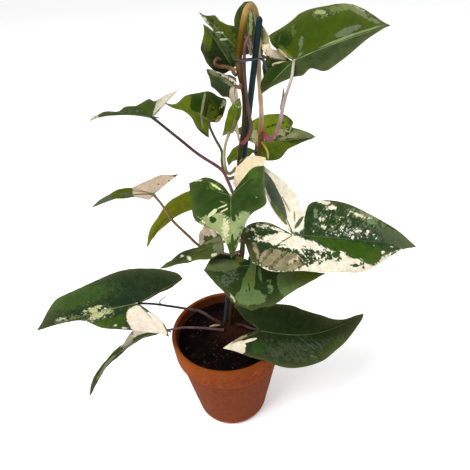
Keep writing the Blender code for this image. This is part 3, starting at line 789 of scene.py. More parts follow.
# %% Stake and wire shapes
STAKE_RADIUS = 2.6
STAKE_FOOT = np.array((-13.6, 23.5, 40))
STAKE_TOP = np.array((45, 15, 449.0))
TIE_RADIUS = 0.7
TWIST_TIE = (
    (51, 19.5, 407), (49.6, 19.2, 411), (48.2, 19.5, 416), (45.2, 13.5, 418.5), (35.5, 2.5, 419.5),
    (31, -1.2, 420), (26, 2.8, 420), (23.1, 8, 419.5), (25.6, 12.6, 418.5), (36, 22.3, 417),
    (41.3, 27.4, 416.5), (45, 28.6, 416), (47.8, 26.2, 414), (48.6, 23.5, 411), (48.8, 22.4, 408),
)
stake_way = unit(STAKE_TOP - STAKE_FOOT)
stake_length = np.linalg.norm(STAKE_TOP - STAKE_FOOT)
before_top = np.array([2.2, 1.4, 0.7, 0.2])
stake_at = np.concatenate(([0, 1.2, 3], np.linspace(8, stake_length - 4, 60), stake_length - before_top))
rounding_at = [0, 3, stake_length - 2.4, stake_length - 1.4, stake_length - 0.7, stake_length]
stake_girth = np.interp(stake_at, rounding_at, [0.35, 1, 1, 0.9, 0.72, 0.35])
stake_rows = np.column_stack((STAKE_FOOT + stake_way * stake_at[:, None], STAKE_RADIUS * stake_girth))


def coat_relief(along, around):
    """Fine drawing lines along the coat and a faint sway of its thickness."""
    return 0.05 * np.cos(around * 12) + 0.05 * np.sin(along / 17) + 0.03 * np.sin(along / 3.1 + around)


def tie_relief(along, around):
    """Two flat edges that wind round the wire, as a twist tie has."""
    return 0.12 * np.cos(2 * around - 0.9 * along)


points, faces, _ = tube(stake_rows, 48, 1.6, coat_relief)
stake = add_mesh("plant_stake", points, faces)
wire_rows = [(*point, TIE_RADIUS) for point in TWIST_TIE]
points, faces, _ = tube(wire_rows, 14, 0.5, tie_relief)
wire = add_mesh("tie_wire", points, faces)
tie_length = np.linalg.norm(np.diff(smooth_route(TWIST_TIE, 200), axis=0), axis=1).sum()
print("stake", round(stake_length), "mm long, tie", round(tie_length), "mm long")

# %% [markdown]
# ## Coated plastic
# The coat is soft plastic: nearly even in colour, a little worn, and dulled near the soil
# by dust that splashes up. One plain shader would do from afar. Here the shared grain is
# squeezed along the rod, so that wear runs lengthwise, as it does on a drawn rod.

# %% Coated plastic
def plastic_material(name, colour, worn, roughness):
    """Colour to worn colour in long blotches, with dust that fades upwards."""
    material, tree, shader = new_material(name, roughness, 0.12)
    skin = use_group(tree, grain, [("Blotch Size", 16.0), ("Grain Size", 0.8), ("Stretch", 0.15)])
    shade = mix(tree, skin["Blotches"], colour, worn)
    dust = times(tree, step_up(tree, object_axes(tree)["Z"], 0.2, 0.11), skin["Grain"])
    shade = layer(tree, shade, dust, 0.5, (0.10, 0.07, 0.045))
    tree.links.new(shade, shader.inputs["Base Color"])
    tree.links.new(step_up(tree, skin["Grain"], -0.35, 1.4), shader.inputs["Roughness"])
    bump(tree, shader, skin["Grain"], 0.15, 0.0003)
    return material


stake_coat = plastic_material("stake_coat", (0.006, 0.022, 0.026), (0.012, 0.036, 0.040), 0.35)
wire_coat = plastic_material("wire_coat", (0.03, 0.05, 0.055), (0.07, 0.10, 0.105), 0.45)
settle(stake, stake_coat, "stake_coating", "stake")
settle(wire, wire_coat, "tie_plastic", "twist_tie")
print("coats:", stake_coat.name, "and", wire_coat.name)

# %% [markdown]
# ## Stems
# The main vine climbs the stake, arches over at the top and hangs down behind. Where a
# leaf or a root once grew, the stem swells into a knot with fine rings. Knots could be
# separate rings threaded on a pipe, but on the plant they are one skin, so each is a
# swelling of the tube's own radius. The colour turns from young gold to old brown, and
# is given in a few stops along the stem.

# %% Stem shapes
VINE = (
    (3, 17, 84, 2.2), (3, 17, 114, 2.3), (7.5, 14.5, 155, 2.3), (16, 13, 198, 2.4), (22, 12, 225, 2.8),
    (24, 12, 258, 2.2), (24, 11, 293, 2.6), (23, 11, 323, 2.2), (25, 10.5, 341, 2.2), (29, 10, 364, 2.2),
    (30.5, 9.5, 387, 2.2), (29, 8.5, 400, 2.3), (27, 8, 414, 2.9), (28, 8, 428, 2.4), (31, 9, 443, 2.4),
    (34, 11, 453, 2.4), (38, 14.5, 457, 2.3), (42, 19.5, 452.5, 2.2), (44, 22.5, 439, 2.1),
    (44, 24, 412, 2.1), (45, 25, 389, 2.1), (46, 26, 366, 2.3), (45.5, 26.5, 350, 3.0),
    (44, 27, 334, 2.2), (39, 27, 313, 2.0), (34, 27, 295, 1.2),
)
SIDE_STEM = (
    (9, 25, 84, 1.9), (9, 25, 114, 2.0), (14, 23, 149, 2.0), (22, 20.5, 180, 2.0), (29, 16.5, 205, 2.1),
    (31, 11, 217, 2.8), (31, 9, 221, 2.2),
)
AERIAL_ROOT = ((45.6, 23.2, 343, 1.0), (48, 20, 340, 1.0), (50.5, 18, 335, 1.0), (51, 19, 327, 0.8))
CURLED_SHEATH = (
    (23.2, 5.2, 412, 1.7), (16, 1, 416, 1.5), (10.5, -3, 417.5, 1.3), (7.5, -4.5, 420.5, 1.2),
    (10, -3.5, 423.5, 1.0), (13, -2, 422, 0.8),
)
GOLD, OLIVE = (0.108, 0.058, 0.001), (0.050, 0.038, 0.006)
BROWN, BEIGE = (0.040, 0.020, 0.010), (0.56, 0.42, 0.26)
VINE_COLOURS = (
    (0.0, BROWN), (0.25, OLIVE), (0.40, (0.045, 0.030, 0.008)), (0.52, OLIVE), (0.57, (0.060, 0.045, 0.003)),
    (0.590, (0.085, 0.060, 0.006)), (0.604, (0.12, 0.065, 0.022)), (0.612, (0.17, 0.085, 0.045)),
    (0.622, GOLD), (0.655, GOLD), (0.668, (0.22, 0.135, 0.012)), (0.680, (0.40, 0.27, 0.09)),
    (0.72, (0.40, 0.28, 0.13)), (0.77, BEIGE), (0.86, (0.56, 0.43, 0.27)), (0.885, (0.36, 0.19, 0.08)),
    (0.90, (0.24, 0.080, 0.022)), (0.93, (0.10, 0.075, 0.006)), (1.0, (0.10, 0.06, 0.03)),
)


def knotted(path_points, knots):
    """Relief of a stem: ridges along it, and three fine rings at each knot."""
    path = np.asarray(path_points, float)[:, :3]
    travelled = np.append(0, np.cumsum(np.linalg.norm(np.diff(path, axis=0), axis=1)))

    def relief(along, around):
        ridges = 0.05 * np.cos(7 * around + 0.03 * along) + 0.04 * np.sin(3 * around - 0.11 * along)
        sway = 0.07 * np.sin(along / 5.3) * np.sin(along / 2.1)
        rings = sum(
            0.22 * np.exp(-(((along - travelled[k] - shift) / 0.7) ** 2))
            for k in knots
            for shift in (-2.2, 0.0, 2.0)
        )
        return ridges + sway + rings

    return relief


vine_length = np.linalg.norm(np.diff(np.array(VINE)[:, :3], axis=0), axis=1).sum()
print("main vine", round(vine_length), "mm long")

# %% [markdown]
# ## Stem skin
# Young stems are smooth and a little waxy; older ones are corky and blotched. One
# material could be made for each stem, but the skin is the same everywhere and only its
# colour changes. So every stem and stalk carries its colour on its points, and one
# material adds the blotches, specks and fine relief.

# %% Stem skin
bark_skin, tree, shader = new_material("stem_skin", 0.40, 0.12)
skin = use_group(tree, grain, [("Blotch Size", 7.0), ("Grain Size", 0.9), ("Stretch", 0.35)])
tint = stored(tree, "tint")
colour = layer(tree, tint, skin["Blotches"], 0.7, darker(tree, tint, (0.52, 0.42, 0.36)))
colour = layer(tree, colour, skin["Specks"], 0.35, (0.05, 0.03, 0.015))
tree.links.new(colour, shader.inputs["Base Color"])
tree.links.new(step_up(tree, skin["Grain"], -0.2, 1.3), shader.inputs["Roughness"])
bump(tree, shader, skin["Grain"], 0.3, 0.0004)
SIDE_COLOURS = ((0, BROWN), (0.5, OLIVE), (0.9, (0.12, 0.08, 0.03)), (1, BROWN))
ROOT_COLOURS = ((0, (0.45, 0.40, 0.05)), (0.8, (0.50, 0.48, 0.10)), (1, (0.32, 0.24, 0.08)))
SHEATH_COLOURS = ((0, (0.34, 0.20, 0.10)), (0.5, (0.20, 0.10, 0.05)), (1, (0.10, 0.05, 0.03)))


def add_stem(name, route, colours, slot, knots=(), sides=28, spacing=0.9):
    """A stem with its knots, its colours along it, and the CAD node it stands for."""
    points, faces, share = tube(route, sides, spacing, knotted(route, knots))
    stem = add_mesh(name + "_skin", points, faces, 60)
    put_values(stem, "tint", tinted(share, colours))
    settle(stem, bark_skin, slot, name)


add_stem("main_vine", VINE, VINE_COLOURS, "woody_stem", (4, 6, 12, 22))
add_stem("side_stem", SIDE_STEM, SIDE_COLOURS, "woody_stem", (5,))
add_stem("aerial_root", AERIAL_ROOT, ROOT_COLOURS, "aerial_root", sides=16, spacing=0.5)
add_stem("curled_sheath", CURLED_SHEATH, SHEATH_COLOURS, "woody_stem", sides=18, spacing=0.4)

# %% [markdown]
# ## Withered bits
# An old plant keeps dry remains: the stub of a stalk, papery sheaths, and a scrap on the
# soil. They could be flat flakes, but a tube whose radius rises and falls along a few
# points gives each of them a body and closed ends. They have no CAD node of their own.

# %% Withered bits
WITHERED = (
    ("stalk_stub", ((62, 6.5, 378, 2.0), (62.8, 4, 388, 1.3), (62.5, 1, 396.6, 0.4)), (0.20, 0.18, 0.12)),
    ("dry_spur", ((-72, 1.5, 167, 0.8), (-72.5, 1, 173, 0.6), (-65, 1, 180, 0.4)), (0.015, 0.014, 0.010)),
    ("soil_scrap", ((-22, 13, 117.5, 0.5), (-15, 12.5, 119, 1.6), (-8, 13.5, 118.5, 0.6)),
     (0.42, 0.27, 0.15)),
    ("old_sheath", ((24, 6, 352, 0.8), (22.8, 5, 363, 1.5), (22, 5, 373, 0.5)), (0.55, 0.45, 0.32)),
)
for name, route, colour in WITHERED:
    points, faces, share = tube(route, 14, 0.5)
    bit = add_mesh(name, points, faces, 60)
    put_values(bit, "tint", tinted(share, ((0, colour), (1, colour))))
    settle(bit, bark_skin, "woody_stem")
print("withered bits:", len(WITHERED))

# %% [markdown]
# ## What a leaf is
# An arrowhead leaf has a long blade and two ears, and no two are alike. Each could be
# modelled in place, but a leaf is easier to draw flat. Its margin is a few points in its
# own plane, with the base at the origin and the tip ahead. The flat leaf is then folded
# along its midrib, waved, arched and laid on the line from base to tip. Marbling is drawn
# on the flat leaf too, as soft oval strokes of cream, sage, bright or dark, each laid over
# the ones before it. A few strokes paint light instead of marbling: grey sage strokes are
# painted sheen, and some yellow-green tones are painted back light through the leaf.

# %% What a leaf holds
THOUSANDTH = 0.001


@dataclass
class Leaf:
    """One leaf. Margins and strokes are (along, across) in mm; across is positive on the left.

    Base, tip and stalk are places in mm. The fold is (left, right) in degrees, the wave is
    (height in mm, waves round the margin), and the sway bows the midrib sideways in mm.
    A stroke is (kind, along, across, half length, half breadth, turn in degrees, strength),
    then how crisp its rim is (4 if left out) and the tone it gives that kind around it.
    Colours are (red, green, blue) in thousandths. Veins says how light the midrib is.
    """

    name: str
    base: tuple
    tip: tuple
    roll: float
    left: tuple
    left_ear: tuple
    left_back: tuple
    right: tuple
    right_ear: tuple
    right_back: tuple
    stalk: tuple
    fold: tuple = (8, 8)
    arch: float = 15
    wave: tuple = (0.8, 7)
    sway: float = 0
    stalk_radius: tuple = (1.7, 1.2)
    slot: str = "leaf_green"
    ground: tuple = (28, 58, 10)
    bright: tuple = (58, 100, 4)
    sage: tuple = (100, 140, 55)
    cream: tuple = (860, 800, 660)
    stalk_colours: tuple = ((160, 100, 60), (300, 170, 130))
    veins: float = 1.0
    strokes: tuple = ()


print("a leaf holds:", ", ".join(Leaf.__annotations__))

# %% [markdown]
# ## The leaves one by one
# Copies of one leaf, turned about, would look like plastic. So each leaf of the plant is
# listed here with its own outline, bend, stalk and marbling. Its blade and stalk stand
# for one piece, as they grew.

# %% The leaves
LEAVES = (
    Leaf(
        "leaf_top_right", (71, 4, 417), (139, -14, 441), 42,
        left=((62, 17), (47, 33), (31, 38), (14, 41), (-5, 38)), left_ear=(-19, 36),
        left_back=((-17, 25), (-9, 11)),
        right=((59, -5), (31, -16), (21, -18), (12, -12), (4, -14), (-6, -12)), right_ear=(-35, -13),
        right_back=((-33, -5), (-23, 3), (-10, 3)),
        fold=(0, -20),
        stalk=(
            (48.2, 23.6, 351), (52, 18.5, 347), (57, 14, 352), (61, 10, 366), (63, 4, 382), (65, -5, 396),
            (68, -7, 407), (71, 4, 417),
        ),
        stalk_radius=(2.0, 1.1),
        stalk_colours=((340, 80, 100), (360, 220, 240), (440, 340, 340), (420, 420, 320)),
        ground=(36, 54, 10), bright=(40, 70, 1), sage=(120, 160, 60), cream=(280, 330, 150),
        strokes=(
            # the first bright stroke, over the upper half, is partly the leaf's own vivid green and partly
            # painted back light through the leaf
            ("bright", 25, 24, 62, 30, 0, 1, 10), ("dark", 25, -12, 70, 12, 0, 1, 10, (45, 64, 20)),
            ("dark", -24, -3, 14, 5, 15, 0.9, 8, (18, 40, 3)),
            ("dark", -8, 25, 8, 12, 25, 0.85, 4, (16, 38, 2)),
            ("sage", 8, 13, 8, 1.8, 75, 0.75, 4, (100, 140, 60)),
            ("sage", 3, 28, 9, 3, 80, 0.55, 4, (70, 110, 20)),
            ("sage", 44, 7, 10, 3.2, 4, 0.9, 6, (120, 140, 75)),
            ("sage", 46, 2, 25, 1.1, 1, 0.9, 8, (200, 240, 110)),
            ("sage", 30, 31, 15, 6, -8, 0.58, 4, (110, 150, 50)), ("cream", 27, 34, 6, 2.5, -20, 0.62),
            ("cream", 31, 28, 3, 2, 20, 0.5), ("sage", 56, 20, 20, 2.8, -52, 1, 6, (140, 160, 85)),
            ("sage", 44, 29, 9, 2, -25, 0.7, 4, (140, 170, 50)), ("cream", 57, 21, 14, 1, -52, 0.55),
            ("cream", -8, 11, 9, 1.2, -62, 0.9, 8, (440, 360, 200)),
            ("bright", -7, 14, 14, 1.2, -62, 0.7, 4, (90, 130, 10)),
            ("sage", -12, 24, 8, 1, 60, 0.6, 4, (80, 120, 10)),
            ("sage", 4, 2, 10, 1.5, 30, 0.6, 4, (130, 170, 70)), ("dark", 62, 14, 4, 2, -50, 0.6),
        ),
    ),
    Leaf(
        "leaf_big_right", (67, -45, 282), (183, -38, 256), 42,
        left=((101, 13), (77, 23), (52, 32), (34, 35), (16, 31), (7, 21), (4, 33), (-8, 48)),
        left_ear=(-29, 63), left_back=((-30, 47), (-18, 20)),
        right=((99, -7), (66, -28), (44, -32), (28, -33), (7, -33), (-20, -35)), right_ear=(-37, -27),
        right_back=((-44, 2), (-26, 10)),
        fold=(4, 8), arch=12,
        stalk=((33.8, 5.2, 222), (38, -12, 235), (52, -34, 259), (67, -45, 282)), stalk_radius=(2.0, 1.4),
        stalk_colours=((100, 60, 40), (260, 160, 120), (700, 550, 400)),
        slot="leaf_variegated", ground=(24, 50, 16), bright=(36, 88, 6), sage=(90, 125, 60), veins=0.3,
        strokes=(
            ("cream", 35, -30, 80, 11, 2, 1, 8), ("cream", 86, -15, 26, 5, 28, 1, 8),
            ("cream", 101, -3, 16, 4, 4, 1, 8), ("dark", 97, -5, 5, 1.2, 30, 0.7),
            ("sage", 93, -1, 4, 1.5, 0, 0.5), ("bright", 46, -6, 41, 9, -4, 1, 8),
            ("bright", 69, -14, 11, 9, 0, 1, 6), ("bright", 28, -10, 17, 10, -32, 1, 8),
            ("cream", 45, -16, 3.5, 4, 20, 0.85), ("bright", 55, -13, 10, 3, -5, 0.8),
            ("cream", 53, -20, 5, 2, 0, 0.85), ("cream", 77, -3.5, 5, 1.8, -8, 0.85),
            ("cream", 36, -20, 3, 1.5, 0, 0.6), ("dark", 54, -24.5, 5, 1.4, 5, 0.95),
            ("dark", 62, -26, 2, 1, 0, 0.8), ("dark", 90, -6, 6, 1.2, 12, 0.8),
            ("dark", 95, -9.5, 6, 1, 25, 0.75), ("cream", 83, -9, 2.5, 1.5, 40, 0.7),
            ("cream", 0, -8, 32, 7, -10, 1, 6), ("dark", 13, -20, 14, 9, -5, 0.97, 6),
            ("cream", 14, -20, 13, 8, 0, 0.42), ("cream", 6, -16, 8, 1, -50, 0.6),
            ("cream", 17, -27, 8, 1, 35, 0.6), ("dark", 55, 13, 64, 14, -6, 1, 10),
            # painted sheen: the next two grey sage strokes are the bluish sheen on the upper half and the
            # grey sheen at the tip
            ("sage", 74, 8, 36, 8.5, -6, 0.62, 4, (45, 70, 44)),
            ("sage", 102, 5, 19, 8, -14, 0.95, 6, (72, 100, 50)),
            ("sage", 30, 14, 22, 14, 0, 0.44, 4, (150, 200, 110)), ("cream", 30, 12, 24, 12, 0, 0.3),
            ("cream", 55, 6, 16, 4, 0, 0.34), ("sage", 55, 5, 14, 3.5, 0, 0.5, 4, (100, 140, 95)),
            ("cream", 66, 7, 18, 7, -5, 0.3), ("cream", 34, 28, 4.5, 2.5, 0, 0.75),
            ("sage", 30, 31, 5, 2, -4, 0.7, 4, (250, 220, 130)), ("cream", 27, 32.5, 7, 1.8, -4, 0.75),
            ("sage", 19, 21, 4, 5, 0, 0.62, 4, (180, 240, 140)),
            ("sage", 67, 22, 15, 4.5, -14, 0.85, 4, (200, 260, 130)), ("cream", 66, 22, 12, 2.5, -14, 0.38),
            ("cream", 57, 24, 5, 1.4, -18, 0.75), ("dark", 11.5, 13, 2, 12, 0, 0.7),
            ("bright", 36, 13, 8, 2.5, 0, 0.6), ("tan", -13, -25, 20, 9.5, -5, 1, 6),
            ("sage", -24, -22, 9, 1, 58, 0.8, 6, (150, 145, 60)),
            ("sage", -11, -22, 9, 1.2, 52, 0.8, 6, (170, 160, 70)),
            ("cream", -2, -25, 6, 2.2, 40, 0.6, 4, (550, 440, 300)),
            ("sage", -17, -27, 8, 1, 55, 0.8, 6, (150, 145, 60)), ("dark", -29, -20, 8, 0.9, 75, 0.7),
            ("bright", -38.5, -13, 4, 13, 18, 1, 8, (30, 34, 5)), ("cream", -33, -4, 3, 4, 60, 0.8),
            ("tan", -34, -14, 2, 6, 20, 0.8), ("cream", -20, 3, 22, 8, 8, 0.95, 6),
            ("sage", -26, 2, 14, 6, 0, 0.56, 4, (70, 110, 30)), ("dark", -31, -2, 8, 5, 0, 0.5),
            ("dark", -24, 0, 10, 1.2, 10, 0.7), ("tan", -9, 5, 8, 2, -22, 0.85),
            ("dark", -6, 3.5, 6, 1.3, -30, 0.85), ("tan", -20, 9, 12, 1.5, 0, 0.8),
            ("dark", -14, -11, 7, 1, 10, 0.6), ("dark", -10, -6, 6, 0.8, 0, 0.5),
            ("cream", -10, 38, 34, 19, 117, 1, 10), ("sage", -18.5, 36, 25, 5, 117, 1, 10, (85, 110, 70)),
            ("sage", -14, 19, 12, 1.6, 128, 0.9, 8, (150, 190, 60)),
            ("sage", -7, 27, 9, 0.8, 118, 0.8, 8, (420, 380, 300)), ("dark", 13.5, 17, 3.5, 11, -6, 0.97, 8),
            ("sage", 4.5, 11.5, 6.5, 1.5, 58, 1, 8, (100, 120, 60)),
            ("sage", 0.5, 17, 6, 0.7, 95, 0.8, 8, (300, 260, 120)),
        ),
    ),
    Leaf(
        "leaf_heart", (14, -35, 319), (11, -68, 277), 0,
        left=((45, 5), (28, 11), (16, 18), (8, 30), (-4, 29)), left_ear=(-27, 29),
        left_back=((-24, 18), (-10, 6)),
        right=((41, -4), (31, -12), (26, -23), (20, -31), (6, -34)), right_ear=(-11, -36),
        right_back=((-17, -22), (-11, -9)),
        fold=(4, 4),
        stalk=((23.2, 7.6, 294), (20, -8, 300), (16, -22, 309), (14, -35, 319)),
        stalk_colours=((220, 160, 50), (300, 260, 80)),
        slot="leaf_variegated", ground=(26, 58, 8), bright=(45, 100, 8), sage=(200, 280, 110),
        cream=(660, 660, 420), veins=0.5,
        strokes=(
            ("sage", 30, 8, 16, 12, 0, 0.9, 8, (125, 195, 80)),
            ("sage", 19, 12, 5, 5, 0, 0.6, 6, (260, 330, 160)), ("cream", 30, 7, 14, 7, 0, 0.3),
            ("sage", 29, -13, 15, 15, 0, 1, 10, (340, 400, 170)),
            ("cream", 28, -4.5, 9, 3.5, 0, 0.72, 4, (600, 600, 380)), ("dark", 5, -21, 9.5, 14, 0, 0.95, 8),
            ("cream", 15, -15.5, 5.5, 1.6, -48, 1, 6), ("cream", 9.5, -7, 4.5, 0.7, -65, 0.85),
            ("cream", 13, -6, 4, 0.7, -62, 0.8), ("cream", 16, -8, 3.5, 0.7, -60, 0.65),
            ("sage", 6, -6, 5, 1, 70, 0.6), ("dark", 21, -15, 2.6, 2.8, 0, 1, 8),
            ("dark", 19.5, 2.5, 2, 1.6, 0, 0.95), ("dark", 43, 1.3, 10, 1.3, 0, 0.95, 8),
            ("dark", 16, 6, 1.3, 1.3, 0, 0.7), ("dark", 50, 0, 3, 2, 0, 0.8),
            ("bright", -9, -15, 3.5, 7, 10, 0.9, 4, (90, 150, 6)), ("cream", -8, -12.5, 6.5, 0.9, 56, 0.85),
            ("bright", -18, 20, 9, 6, 0, 0.7), ("sage", -12, 29, 20, 1.3, 2, 0.9, 8, (60, 75, 70)),
            ("cream", -14, -29, 1, 5, 0, 0.8), ("dark", 18.5, -28.5, 2, 1.4, 0, 0.9),
            ("tan", 29, -17, 1, 6, -30, 0.75), ("cream", 22, -24, 5, 1.2, 40, 0.6),
            ("dark", 38, 5, 8, 0.8, -30, 0.5),
        ),
    ),
    Leaf(
        "leaf_below_heart", (34, -30, 240), (26, -84, 231), 0,
        left=((51, 9), (50, 17), (44, 26), (30, 42)), left_ear=(15, 65), left_back=((6, 42), (1, 18)),
        right=((49, -16), (40, -24), (31, -34)), right_ear=(13, -49),
        right_back=((-11, -41), (-12, -25), (-6, -9)),
        fold=(4, 4),
        stalk=((29.6, 5.2, 216), (29, -8, 224), (34, -30, 240)),
        stalk_colours=((140, 80, 50), (320, 200, 160)),
        slot="leaf_variegated", ground=(18, 38, 8), bright=(85, 150, 30), sage=(105, 165, 45),
        cream=(550, 560, 380), veins=0.6,
        strokes=(
            ("sage", 24, 45, 26, 24, 30, 1, 12, (95, 145, 45)),
            ("sage", 14, 54, 9, 12, 0, 0.9, 8, (95, 130, 10)),
            ("sage", 22, -5, 25, 6, -3, 1, 10, (105, 155, 28)),
            ("sage", 42, -2, 9, 14, 0, 1, 8, (115, 180, 62)),
            ("sage", 12, 4.5, 9, 1.6, 8, 0.9, 8, (65, 110, 30)),
            ("sage", 29, 15, 9, 2.5, 8, 0.62, 4, (120, 200, 80)),
            ("sage", 24, 7, 12, 0.9, 12, 0.7, 6, (90, 140, 50)), ("dark", 29, 9, 8, 1.8, 0, 0.9, 6),
            ("dark", 51, 5, 2, 6, 0, 0.9, 6), ("dark", 12, 1.5, 11, 1.1, 0, 0.9, 6),
            ("dark", 30, -4, 6, 1, 8, 0.85), ("dark", 36, -6, 4, 0.8, 10, 0.7),
            ("dark", 17, -12, 16, 2, -22, 0.9, 6), ("dark", 22, -24, 17, 8.5, -40, 1, 8),
            ("sage", 22, -25, 16, 9, -40, 0.55, 4, (80, 105, 70)),
            ("sage", 5, -34, 8.5, 18, 8, 1, 10, (95, 135, 52)), ("dark", -9, -36, 4.5, 11, 12, 1, 8),
            ("sage", -7, -16, 5, 5, 0, 0.9, 8, (100, 110, 10)), ("cream", 43, -18, 5, 1.4, 35, 0.7),
            ("dark", 33, -17, 8, 1.2, -25, 0.7),
        ),
    ),
    Leaf(
        "leaf_low_right", (37, -28, 148), (147, -30, 167), 32,
        left=((104, 2), (96, 3), (88, 5), (78, 10), (67, 18), (50, 27), (35, 33), (6, 33), (-10, 33)),
        left_ear=(-26, 32), left_back=((-14, 14),),
        right=((107, -6), (89, -17), (74, -23), (56, -30), (21, -36), (-9, -29), (-31, -18)),
        right_ear=(-43, -13), right_back=((-26, -5), (-12, -1)),
        fold=(4, 4), arch=-12, sway=-12,
        stalk=((12, 14, 116.6), (19, -2, 131), (27, -18, 142), (37, -28, 148)),
        stalk_colours=((50, 25, 20), (50, 35, 20)),
        ground=(16, 28, 8), sage=(60, 85, 35), cream=(780, 680, 540), veins=0.4,
        strokes=(
            ("bright", 40, -18, 50, 14, 0, 0.62, 4, (50, 64, 34)),
            ("bright", -5, -17, 7, 6, 0, 0.75, 4, (24, 56, 10)),
            ("bright", 72, -19, 16, 5, 12, 0.55, 4, (30, 50, 8)),
            # painted sheen: the next two long grey sage strokes are sheen streaks
            ("sage", 46, -9, 14, 1.8, -48, 0.62, 4, (55, 75, 45)),
            ("sage", 58, -12, 12, 1.8, -52, 0.62, 4, (50, 68, 44)), ("sage", 43, -16, 3, 1.5, -20, 0.7),
            ("sage", 51, -23, 4, 1.8, -30, 0.72, 4, (85, 120, 40)), ("bright", 0, 30, 14, 3, 0, 0.8),
            ("sage", 36, 18, 10, 1.6, 75, 0.5, 4, (40, 55, 30)), ("cream", -31, -15, 13, 10, 0, 1, 10),
            ("cream", -14, -9, 9, 1.7, 8, 1, 8), ("tan", -23, -5.5, 9, 1.6, 18, 0.9, 6),
            ("dark", -15, -14, 5, 2, 30, 0.7),
        ),
    ),
    Leaf(
        "leaf_low_left", (-97, 0, 173), (-207, -20, 160), -14,
        left=((95, 1), (81, 3), (60, 6), (39, 23), (19, 31), (-4, 39), (-19, 45)), left_ear=(-28, 52),
        left_back=((-25, 35), (-12, 14)),
        right=((94, -25), (80, -33), (42, -41), (8, -47), (-19, -43), (-43, -34), (-51, -29)),
        right_ear=(-54, -23), right_back=((-47, -18.5), (-38, -13), (-30, -9.5), (-12, -2.5)),
        fold=(4, 8),
        stalk=(
            (-5, 15.4, 116.6), (-18, 11, 133), (-29, 8, 147), (-42, 4, 156), (-62, 2, 164), (-81, 1, 170),
            (-97, 0, 173),
        ),
        stalk_colours=((60, 30, 30), (110, 70, 70), (20, 17, 14), (15, 14, 10)),
        ground=(18, 33, 14), bright=(34, 72, 14), sage=(160, 180, 100), cream=(840, 740, 620),
        strokes=(
            ("bright", 62, -24, 42, 15, -3, 0.85, 4), ("bright", 32, 12, 28, 15, -12, 0.85, 4, (36, 80, 6)),
            ("dark", 12, -6, 14, 5, 0, 0.85, 4, (14, 32, 14)), ("dark", 22, 8, 5, 3, 0, 0.6, 4, (14, 32, 20)),
            ("sage", 44, 1, 16, 8, -10, 0.55, 4, (120, 160, 50)),
            ("cream", 45, 4, 6, 4, -10, 0.55, 4, (420, 460, 200)), ("cream", 45, 1, 19, 11, -8, 0.4),
            ("cream", 49, -5, 9, 2.6, 8, 0.56, 4, (420, 460, 200)),
            ("cream", 31, 3, 5, 4, 0, 0.48, 4, (360, 420, 200)),
            ("sage", 80, -2, 14, 5, -5, 0.7, 4, (130, 160, 70)),
            ("cream", 83, -3, 8, 2.5, -20, 0.58, 4, (400, 420, 270)),
            ("cream", 25, 24, 2.5, 1.3, 0, 0.85, 4, (420, 500, 220)),
            ("cream", 16, 30, 4, 1.2, -20, 0.7, 4, (500, 540, 400)), ("cream", -8, 28, 28, 17, 122, 1, 12),
            ("sage", -26, 41, 11, 0.9, 105, 0.9, 8, (100, 130, 60)), ("dark", -7, 9, 7, 3, 125, 0.62),
            ("dark", -4, 4, 5, 1.2, 130, 0.9), ("tan", -14, 18, 7, 0.7, 130, 0.7),
        ),
    ),
    Leaf(
        "leaf_hanging_left", (-71, 0, 128.4), (-160, -50, 82), 60,
        left=((107, 4), (97, 7.5), (88, 7.8), (69, 7), (59, 7), (52, 8), (44, 14), (33, 20)),
        left_ear=(18, 27), left_back=((8, 18), (1, 8)),
        right=((115, -2), (94, -4), (82, -6), (71, -6.5), (53, -9.5), (42, -8.5), (22, -6), (10, -7)),
        right_ear=(-3, -13), right_back=((-3, -6),),
        fold=(25, -10), arch=70, wave=(0.8, 6),
        stalk=((-5, 6, 117), (-26, 5, 123), (-48, 3, 128), (-60, 1.5, 128.9), (-71, 0, 128.4)),
        stalk_radius=(1.6, 1.2), stalk_colours=((90, 50, 50), (170, 120, 120)),
        slot="leaf_variegated", ground=(35, 50, 14), sage=(140, 170, 80), cream=(740, 660, 550),
        strokes=(
            ("cream", 14, 11, 25, 18, 25, 1, 8), ("sage", 43, 10, 13, 9, -25, 1, 6, (460, 440, 330)),
            ("cream", 34, 12, 10, 3, -60, 0.62), ("dark", 25, -1, 15, 8, 2, 1, 8),
            ("sage", 50, -5, 9, 5, -5, 0.95, 6, (180, 160, 120)),
            ("sage", 76, 1, 14, 2.5, 0, 0.85, 6, (240, 280, 120)),
            ("sage", 93, 0, 9, 2.5, 0, 0.85, 6, (260, 300, 150)), ("dark", 93, 6, 8, 2, -8, 0.9),
            ("dark", 62, 0, 4, 6, 0, 0.8),
        ),
    ),
    Leaf(
        "leaf_high_left", (-47, -10, 383), (-93, -28, 389), 40,
        left=((44, 1.5), (36, 3), (30, 3.5), (26, 5), (22, 8), (16, 8), (12, 9), (5, 17.5), (-1, 17)),
        left_ear=(-13, 32), left_back=((-9.5, 20), (-6, 11)),
        right=((48, -5), (44, -7), (35, -5), (27, -6), (14, -8), (2, -9)), right_ear=(-7, -9),
        right_back=((-5, -4),),
        fold=(30, 40), arch=32,
        stalk=(
            (21.4, 7.6, 301), (16, -10, 309), (13, -18, 322), (7, -22, 338), (-11, -20, 352), (-29, -16, 368),
            (-47, -10, 383),
        ),
        stalk_colours=((340, 200, 180), (240, 120, 120), (130, 55, 60), (45, 30, 26), (40, 42, 28)),
        ground=(48, 66, 22), sage=(170, 180, 130), cream=(620, 580, 460),
        strokes=(
            ("bright", 4, 8, 12, 7, 0, 0.6), ("sage", 24, 3, 26, 3, 0, 0.42),
            ("cream", 46, -2, 5, 5, 0, 1, 8), ("cream", -5, 8, 12, 4.2, 98, 1, 8),
            ("cream", -9, 22, 13, 5.5, 118, 1, 8), ("cream", 13, -2, 8, 1.5, -4, 0.9, 6),
            ("dark", 12, 1, 13, 0.8, 0, 0.8),
        ),
    ),
    Leaf(
        "leaf_mid_left", (-57, -10, 313), (-108, -30, 314), 50,
